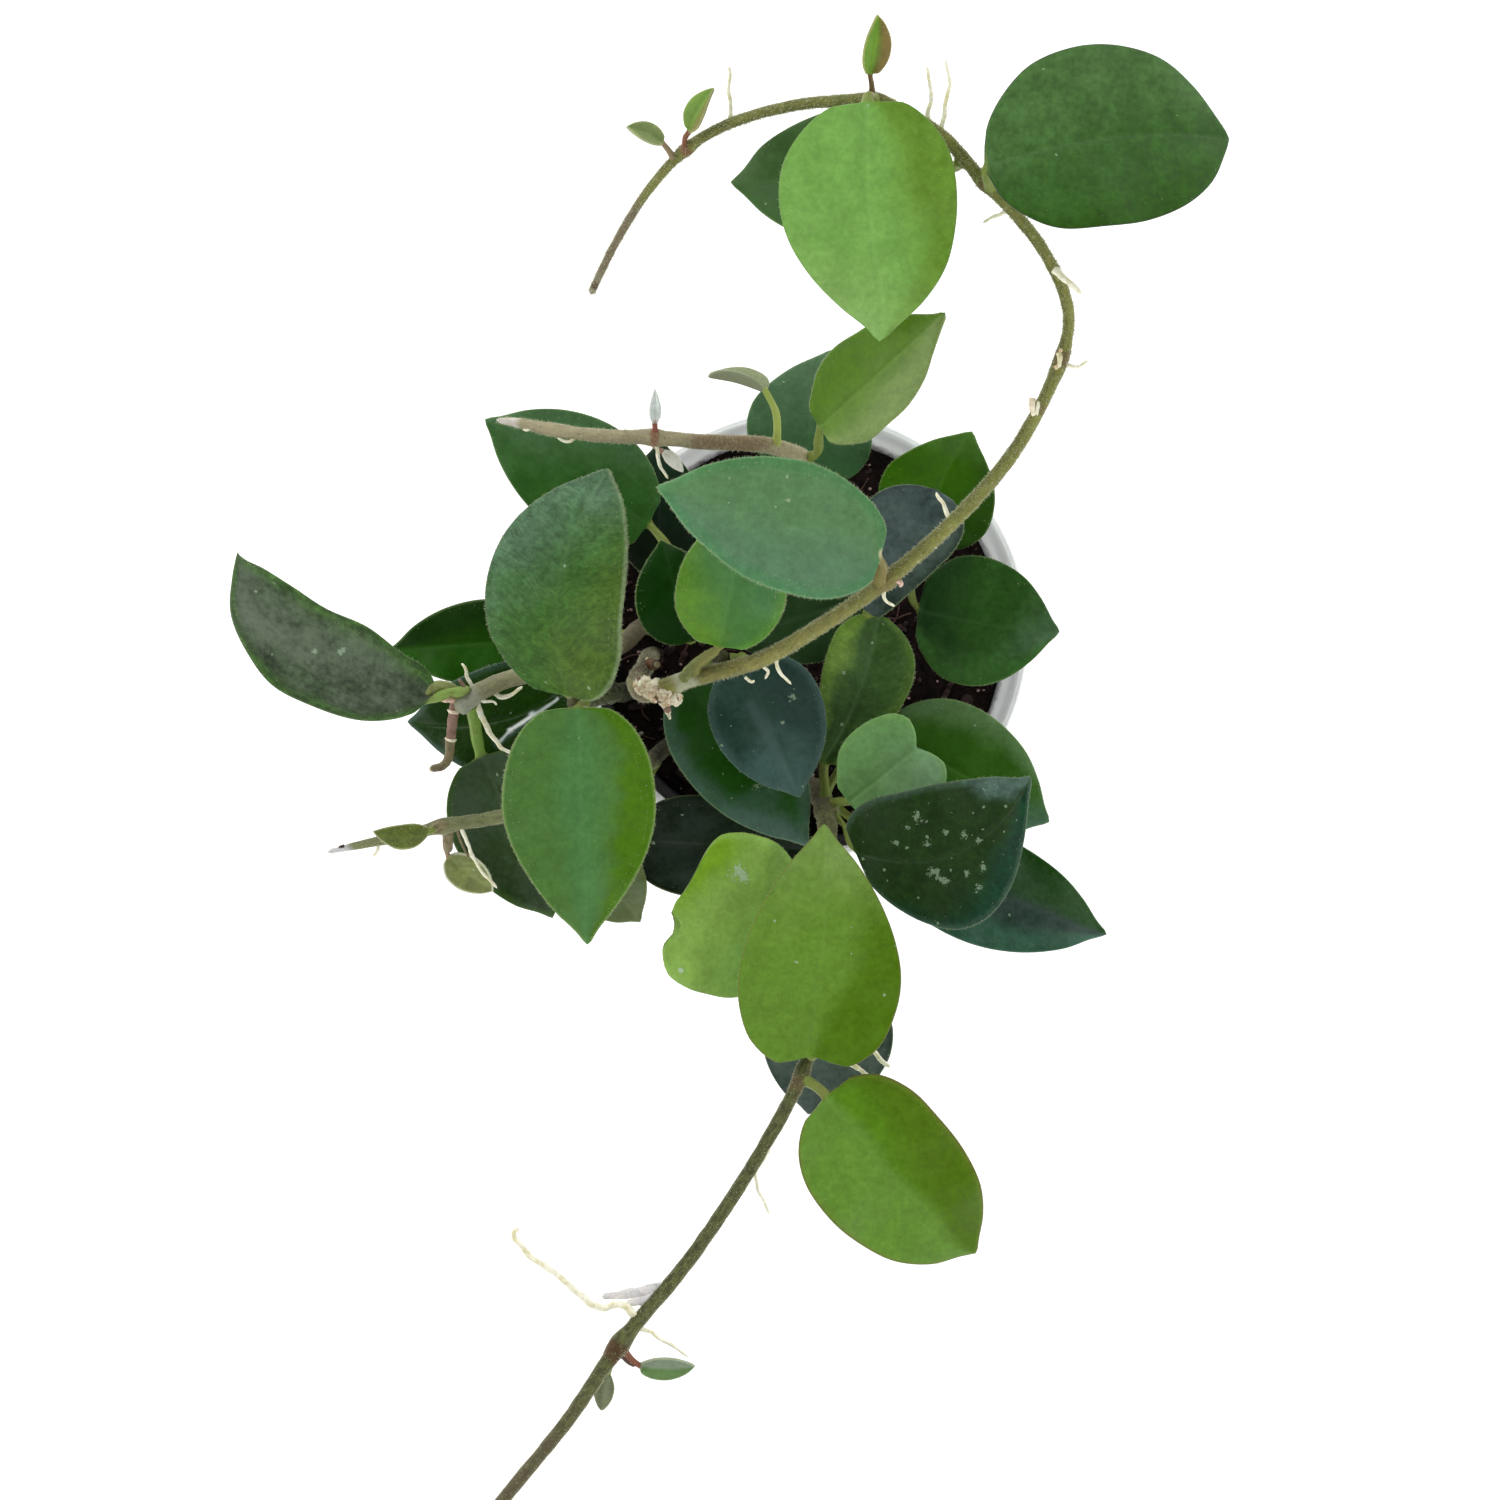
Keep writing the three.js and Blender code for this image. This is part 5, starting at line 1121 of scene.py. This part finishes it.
def makeStem(node):
    stem, look = stemRuns[node], stemLooks[node]
    places = np.array([placeOf(*row[:3]) for row in stem["run"]])
    gaps = np.linalg.norm(np.diff(places, axis=0), axis=1)
    spacing = [*gaps, gaps[-1]]
    stations = [0.0]
    for i, gap in enumerate(gaps):
        parts = max(2, round(gap / stemShape["step"]))
        stations += [i + (p + 1) / parts for p in range(parts)]
    centres = alongCurve(places, stations) * mm
    radii = [stemRadius(stem, spacing, at) * mm for at in stations]
    rng = random.Random(node)
    heap = Heap()
    rough = stemShape["woody" if look["hair"] <= 3 else "rough"]
    ways, across, third, run = addTube(heap, centres, radii, stemShape["sides"], 0, rough, 420)

    # Fine short hairs all round, over the rim only
    roots, out, reach = [], [], []
    for i in range(int(look["hair"] * run[-1] / mm)):
        j = rng.randrange(len(centres) - 1)
        if centres[j][2] < (sight["rim"] - 3) * mm:
            continue
        t, turn = rng.random(), rng.uniform(0, 2 * math.pi)
        way = math.cos(turn) * across[j] + math.sin(turn) * third[j]
        roots.append(centres[j] * (1 - t) + centres[j + 1] * t + way * radii[j] * 0.93)
        out.append(way + ways[j] * rng.uniform(-0.4, 0.6))
        reach.append(look["reach"] * rng.uniform(0.6, 1.2) * mm + radii[j] * 0.07)
    if roots:
        addSpikes(heap, roots, out, reach, look["thick"] * mm, 1)

    # Aerial roots and scraps, thinner and a little crooked
    for kind, radius, *rootRun in stem["roots"] + skinBits.get(node, []):
        shape = {**plainRoot, **rootKinds[kind]}
        path = np.array([placeOf(*p) for p in rootRun])
        size = float(np.sum(np.linalg.norm(np.diff(path, axis=0), axis=1)))
        count = max(8, round(size / stemShape["rootStep"]))
        line = alongCurve(path, np.linspace(0, len(path) - 1, count)) * mm
        bends = np.array([list(noise.noise_vector(Vector(p * 320))) for p in line])
        share = np.linspace(0, 1, count)[:, None]
        line = line + bends * stemShape["rootBend"] * mm * np.minimum(share * 3, 1) * shape["crook"]
        thin = radius * (1 - shape["thins"] * share[:, 0])
        sides, slot = stemShape["rootSides"], rootSlot(kind)
        addTube(heap, line, thin * mm, sides, slot, shape["lumps"], 900, shape["flat"])

    def runAt(place):
        return float(np.interp(place, stations, run)) / mm

    if node == "loop_vine":
        addKnob(heap)
    materials = [stemSkin(node, look, runAt), leafFuzz, *rootSkins]
    heap.piece(pieceName(node), materials, slotOf[node], [node])


plainRoot = {"thins": 0.25, "lumps": 0.35, "crook": 0.12, "flat": 1}
rootKinds = {
    "cream": {"skin": ("cream aerial root", (255, 253, 230), (232, 224, 176)), "thins": 0.45, "crook": 1},
    "bark": {"skin": ("brown dry stub", (156, 124, 108), (118, 90, 76), 0.7), "lumps": 0.12},
    "cork": {"skin": ("pale corky wound", (255, 248, 222), (222, 190, 148), 0.8)},
    "paper": {"skin": ("papery bract", (236, 232, 230), (206, 206, 208), 0.7), "thins": 0.6, "flat": 0.15},
    "pink": {"skin": ("pink growing tip", (240, 206, 186), (204, 148, 126))},
    "dark": {"skin": ("dark old scar", (52, 40, 36), (28, 22, 20), 0.8), "lumps": 0.12},
    "olive": {"skin": ("olive brown stalk", (132, 122, 84), (98, 86, 58)), "lumps": 0.12},
    "green": {"skin": ("felted green stalk", (142, 152, 86), (118, 124, 64)), "lumps": 0.12},
    "brown": {"skin": ("brown young stalk", (98, 64, 32), (68, 42, 16)), "lumps": 0.12},
}
rootSkins = [rootSkin(*kind["skin"]) for kind in rootKinds.values()]
knob = {
    "places": [
        (-38.8, -12.9, 29.2, 2.3), (-36.4, -13.9, 30, 2.5), (-34, -14.8, 30.4, 2.4), (-31.8, -15.6, 30.6, 1.7)],
    "rows": 22, "sides": 30, "lumps": 0.75, "crumbs": 110, "crumbSize": (0.3, 0.8), "barkCrumbs": 0.1,
}


def addKnob(heap):
    # Corky growth where the vine turns over: lumps pressed into each other, cracked and crusted with crumbs
    rng = random.Random(5)
    for i in range(knob["crumbs"]):
        x, y, up, size = rng.choice(knob["places"])
        way = Vector((rng.gauss(0, 1), rng.gauss(0, 1), abs(rng.gauss(0, 1)))).normalized()
        spot = np.array(placeOf(x, y, up)) + np.array(way) * size * rng.uniform(0.86, 1.04)
        small = rng.uniform(*knob["crumbSize"])
        kind = "cork" if rng.random() < 1 - knob["barkCrumbs"] else "bark"
        addLump(heap, spot, (small, small * 0.8, small * 0.7), rootSlot(kind), rng, rows=4, sides=6)
    for x, y, up, size in knob["places"]:
        centre = np.array(placeOf(x, y, up))
        rows, sides = knob["rows"], knob["sides"]
        points = []
        for r in range(rows + 1):
            tilt = math.pi * (0.02 + 0.96 * r / rows)
            for k in range(sides):
                turn = 2 * math.pi * k / sides
                level = math.sin(tilt)
                way = Vector((level * math.cos(turn), level * math.sin(turn), -math.cos(tilt)))
                spot = Vector(centre) * 0.9 + way * 2.4
                crack = abs(noise.noise(spot)) * 0.7 + abs(noise.noise(spot * 2.7)) * 0.35
                points.append((centre + np.array(way) * size * (0.8 + knob["lumps"] * crack)) * mm)
        heap.add(points, ringFaces(rows + 1, sides), rootSlot("cork"))


for node in stemRuns:
    makeStem(node)
print("stems", len(stemRuns))

# Soil
soil = {
    "level": 84.0, "radius": 50.1, "lowRadius": 37.0, "bottom": 3.2, "lump": 1.5, "rings": 46, "sides": 150,
    # how many, how far from the middle and how large
    "chips": (120, 46, (0.9, 3.0)), "crumbs": (900, 49, (0.25, 0.85)), "flecks": (260, 49, (0.15, 0.5)),
    "perlite": (40, 48.5, (0.5, 1.5)), "fibres": (80, 46, (3, 10)), "fibreRadius": 0.16,
}


def soilSkin():
    skin = Skin("dark potting mix")
    patch = skin.grain(260, 6, 0.7)
    fine = skin.grain(1500, 5, 0.7)
    colour = skin.mix(skin.ramp(patch, 0.35, 0.7), (14, 9, 9), (46, 29, 27))
    colour = skin.mix(skin.ramp(fine, 0.62, 0.72, 0, 0.6), colour, (98, 66, 60))
    skin.relief(skin.plus(fine, patch), 0.8, 0.8)
    return skin.finish({"Base Color": colour, "Roughness": 0.9, "Specular IOR Level": 0.2})


def soilHeight(x, y):
    spot = Vector((x * 0.16, y * 0.16, 3.7))
    lump = noise.noise(spot) * 0.55 + abs(noise.noise(spot * 2.9)) * 0.45 - 0.12
    return soil["level"] + soil["lump"] * 1.2 * lump + 0.35 * noise.noise(Vector((x * 1.3, y * 1.3, 0)))


def makeSoil():
    heap = Heap()
    rng = random.Random(11)
    rings, sides = soil["rings"], soil["sides"]
    rows = []
    for r in range(rings + 1):
        row = circle(sides, max(0.05, soil["radius"] * r / rings), soil["level"] - 1.2)
        rows.append([(x, y, soilHeight(x, y)) for x, y, z in row] if r < rings else row)
    rows.append(circle(sides, soil["lowRadius"], 6.0))
    rows.append(circle(sides, soil["lowRadius"] - 3, soil["bottom"]))
    heap.add(np.array(rows[::-1]).reshape(-1, 3) * mm, ringFaces(len(rows), sides))

    def scattered(kind):
        count, most, sizes = soil[kind]
        for i in range(count):
            radius, turn = most * math.sqrt(rng.random()), rng.uniform(0, 2 * math.pi)
            x, y = radius * math.cos(turn), radius * math.sin(turn)
            yield x, y, soilHeight(x, y), sizes

    for x, y, z, sizes in scattered("chips"):
        long = rng.uniform(*sizes)
        addLump(heap, (x, y, z + 0.2), (long, long * rng.uniform(0.35, 0.7), rng.uniform(0.4, 1.0)), 1, rng)
    for x, y, z, sizes in scattered("crumbs"):
        size = rng.uniform(*sizes)
        look = 1 if rng.random() < 0.25 else 0
        addLump(heap, (x, y, z + 0.1), (size, size * 0.8, size * 0.7), look, rng, rows=4, sides=7)
    for x, y, z, sizes in scattered("flecks"):
        size = rng.uniform(*sizes)
        addLump(heap, (x, y, z + 0.4), (size, size * 0.8, size * 0.6), 4, rng, rows=3, sides=5)
    for x, y, z, sizes in scattered("perlite"):
        size = rng.uniform(*sizes)
        addLump(heap, (x, y, z + 0.3), (size, size * 0.9, size * 0.8), 2, rng, 0.5)
    for x, y, z, sizes in scattered("fibres"):
        turn, size = rng.uniform(0, 2 * math.pi), rng.uniform(*sizes)
        path = []
        for s in range(4):
            turn += rng.uniform(-0.5, 0.5)
            path.append((x, y, soilHeight(x, y) + rng.uniform(0.1, 0.9)))
            x, y = x + math.cos(turn) * size / 3, y + math.sin(turn) * size / 3
            if math.hypot(x, y) > 48:
                break
        if len(path) > 2:
            line = alongCurve(np.array(path), np.linspace(0, len(path) - 1, 12)) * mm
            addTube(heap, line, [soil["fibreRadius"] * mm * rng.uniform(0.7, 1.6)] * 12, 5, 3)
    soilSkins = [
        soilSkin(),
        rootSkin("bark chip", (66, 44, 42), (30, 20, 18), 0.85),
        rootSkin("perlite", (226, 224, 218), (186, 180, 168), 0.9),
        rootSkin("fibre", (104, 70, 62), (58, 38, 34), 0.8),
        rootSkin("pinkish fleck", (208, 176, 176), (150, 112, 112), 0.8),
    ]
    heap.piece("pottingMix", soilSkins, slotOf["soil"], ["soil"])


makeSoil()
print("soil")

# Pot
pot = {
    "sides": 144, "holes": 6, "holeRadius": 3.0, "holeCircle": 26.0, "holeSides": 32,
    "rim": (254, 254, 255), "rimShade": (250, 251, 254), "wall": (226, 228, 232), "rimGlow": 0.12,
    # soil dust, then the colour and the facing of the painted shade on the inside wall
    "dust": (120, 98, 80), "smear": (24, 20, 16), "paintedShadeWay": (-0.5, -0.866, 0),
    "depth": 0.004,    # how far light goes into the plastic, in metres
    # radius and height of the outer wall, over the rim and down the inner wall to the floor
    "profile": [
        (0, 0), (30, 0), (36.2, 0), (37.2, 0.15), (37.8, 0.6), (38.0, 1.3), (38.9, 6), (39.1, 6.6), (39.0, 7.4),
        (43, 31), (47, 55), (51.0, 79), (51.9, 84.4), (52.1, 85.4), (52.7, 85.9), (53.4, 86.1), (53.7, 86.5),
        (53.8, 87.2), (54.3, 92.9), (54.75, 93.4), (54.97, 94.0), (54.9, 94.6), (54.5, 94.95), (54.1, 95.0),
        (53.85, 94.86), (53.6, 94.98), (53.25, 94.85), (52.8, 94.3), (52.5, 92), (52.2, 88), (51.9, 86.9),
        (51.2, 86.2), (50.7, 85.3),
        (50.4, 83.5), (46.2, 58), (42.0, 32), (37.9, 7), (37.2, 4.6), (35.2, 3.1), (30, 2.8), (0, 2.8),
    ],
}


def potSkin():
    skin = Skin("white pot plastic")
    x, y, z = skin.split(skin.where)
    fine = skin.grain(900, 3, 0.6)
    colour = skin.mix(skin.ramp(skin.grain(40, 4, 0.6), 0.35, 0.7), pot["rim"], pot["rimShade"])
    wall = skin.ramp(z, 84.5 * mm, 86.5 * mm, 1.0, 0.0)
    colour = skin.mix(wall, colour, pot["wall"])
    # A little soil dust clings above the soil line and inside the rim
    fromAxis = skin.apart(x, y)
    inside = skin.ramp(fromAxis, 50.8 * mm, 51.8 * mm, 1.0, 0.0)
    low = skin.ramp(z, 83 * mm, 89 * mm, 1.0, 0.0)
    dust = skin.times(skin.times(inside, low), skin.ramp(skin.grain(500, 5), 0.4, 0.65))
    colour = skin.mix(skin.times(dust, 0.55), colour, pot["dust"])
    # Painted shade: the inside wall is darkened on the side that the leaves shade
    inner = skin.ramp(skin.timesPlus(z, -0.1662, fromAxis), 37.62 * mm, 37.78 * mm, 1.0, 0.0)
    inner = skin.times(inner, skin.ramp(z, 93.5 * mm, 94.5 * mm, 1.0, 0.0))
    outwards = skin.towards(skin.where, pot["paintedShadeWay"])
    shaded = skin.ramp(skin.maths("DIVIDE", outwards, fromAxis), 0.62, 0.74, 0.0, 0.97)
    smear = skin.times(inner, shaded)
    colour = skin.mix(smear, colour, pot["smear"])
    rough = skin.greatest(skin.ramp(fine, 0.3, 0.7, 0.3, 0.42), skin.times(smear, 0.9))
    # Painted light: the rim glows a little, as if lit through the thin plastic
    glow = skin.times(skin.minus(1.0, skin.greatest(wall, smear)), pot["rimGlow"])
    skin.relief(fine, 0.02, 0.1)
    return skin.finish({
        "Base Color": colour, "Roughness": rough,
        "Emission Color": (0.94, 0.97, 1, 1), "Emission Strength": glow,
        "Subsurface Weight": 0.35, "Subsurface Radius": (pot["depth"],) * 3, "Subsurface Scale": 1.0,
    })


def makePot():
    heap = Heap()
    rows = [circle(pot["sides"], max(radius, 0.4), z) for radius, z in pot["profile"]]
    heap.add(np.array(rows).reshape(-1, 3) * mm, ringFaces(len(rows), pot["sides"]))
    made = heap.piece("nurseryPot", [potSkin()], slotOf["pot"], ["pot"])
    # Drain holes through the floor
    cutters = Heap()
    for i in range(pot["holes"]):
        turn = 2 * math.pi * (i + 0.5) / pot["holes"]
        x, y = math.cos(turn) * pot["holeCircle"], math.sin(turn) * pot["holeCircle"]
        rings = [circle(pot["holeSides"], pot["holeRadius"], z, x, y) for z in (-2, 6)]
        cutters.add(np.array(rings).reshape(-1, 3) * mm, ringFaces(2, pot["holeSides"]))
    mesh = bpy.data.meshes.new("holeCutters")
    mesh.from_pydata(np.concatenate(cutters.points).tolist(), [], cutters.faces)
    cutter = bpy.data.objects.new("holeCutters", mesh)
    bpy.context.scene.collection.objects.link(cutter)
    cut = made.modifiers.new("holes", "BOOLEAN")
    cut.operation, cut.object, cut.solver = "DIFFERENCE", cutter, "EXACT"
    bpy.context.view_layer.update()
    shape = bpy.data.meshes.new_from_object(made.evaluated_get(bpy.context.evaluated_depsgraph_get()))
    made.modifiers.clear()
    made.data = shape
    bpy.data.objects.remove(cutter)
    shape.polygons.foreach_set("use_smooth", [True] * len(shape.polygons))
    shape.set_sharp_from_angle(angle=math.radians(50))


makePot()
print("pot")

# Floor, sky and lamps
room = {
    "floor": (0.93, 0.93, 0.93, 1), "floorShade": (0.9, 0.9, 0.9, 1), "floorGlow": 0.5, "half": 2.5, "steps": 8,
    "under": 0.6,                    # mm, the floor below the pot's base
    "sky": 1.35, "overhead": 0.1,
    "lamps": {                       # place, size and power
        "window": ((-0.75, 0.6, 0.95), 0.7, 3.6),
        "fill": ((0.8, -0.7, 0.9), 0.9, 1.26),
    },
    "aim": (0, 0, 0.12),
}


def makeFloor():
    half, steps = room["half"], room["steps"]
    at = [-half + 2 * half * i / steps for i in range(steps + 1)]
    points = [(x, y, -room["under"] * mm) for y in at for x in at]
    corners = [j * (steps + 1) + i for j in range(steps) for i in range(steps)]
    faces = [(a, a + 1, a + steps + 2, a + steps + 1) for a in corners]
    skin = Skin("white studio floor")
    mesh = bpy.data.meshes.new("studioFloor")
    mesh.from_pydata(points, [], faces)
    mesh.materials.append(skin.finish({
        "Base Color": skin.mix(skin.grain(3, 2), room["floor"], room["floorShade"]),
        "Roughness": 0.9, "Specular IOR Level": 0.1,
        "Emission Color": (1, 1, 1, 1), "Emission Strength": room["floorGlow"],
    }))
    floor = bpy.data.objects.new("studioFloor", mesh)
    bpy.context.scene.collection.objects.link(floor)


def makeLight():
    # The sky is bright at the sides and dimmer overhead, so upper faces keep their depth
    world = bpy.data.worlds.new("softRoom")
    bpy.context.scene.world = world
    world.use_nodes = True
    sky = Nodes(world.node_tree, "Generated")
    background = world.node_tree.nodes["Background"]
    background.inputs["Color"].default_value = (1, 1, 1, 1)
    light = sky.ramp(sky.split(sky.where)[2], 0.5, 0.96, room["sky"], room["overhead"])
    sky.join(light, background.inputs["Strength"])

    for name, (spot, size, power) in room["lamps"].items():
        lamp = bpy.data.lights.new(name, "AREA")
        lamp.shape, lamp.size, lamp.energy = "SQUARE", size, power
        holder = bpy.data.objects.new(name, lamp)
        holder.location = spot
        holder.rotation_euler = (Vector(room["aim"]) - Vector(spot)).to_track_quat("-Z", "Y").to_euler()
        bpy.context.scene.collection.objects.link(holder)
    bpy.context.scene.view_settings.view_transform = "Standard"


makeFloor()
makeLight()
print("room")
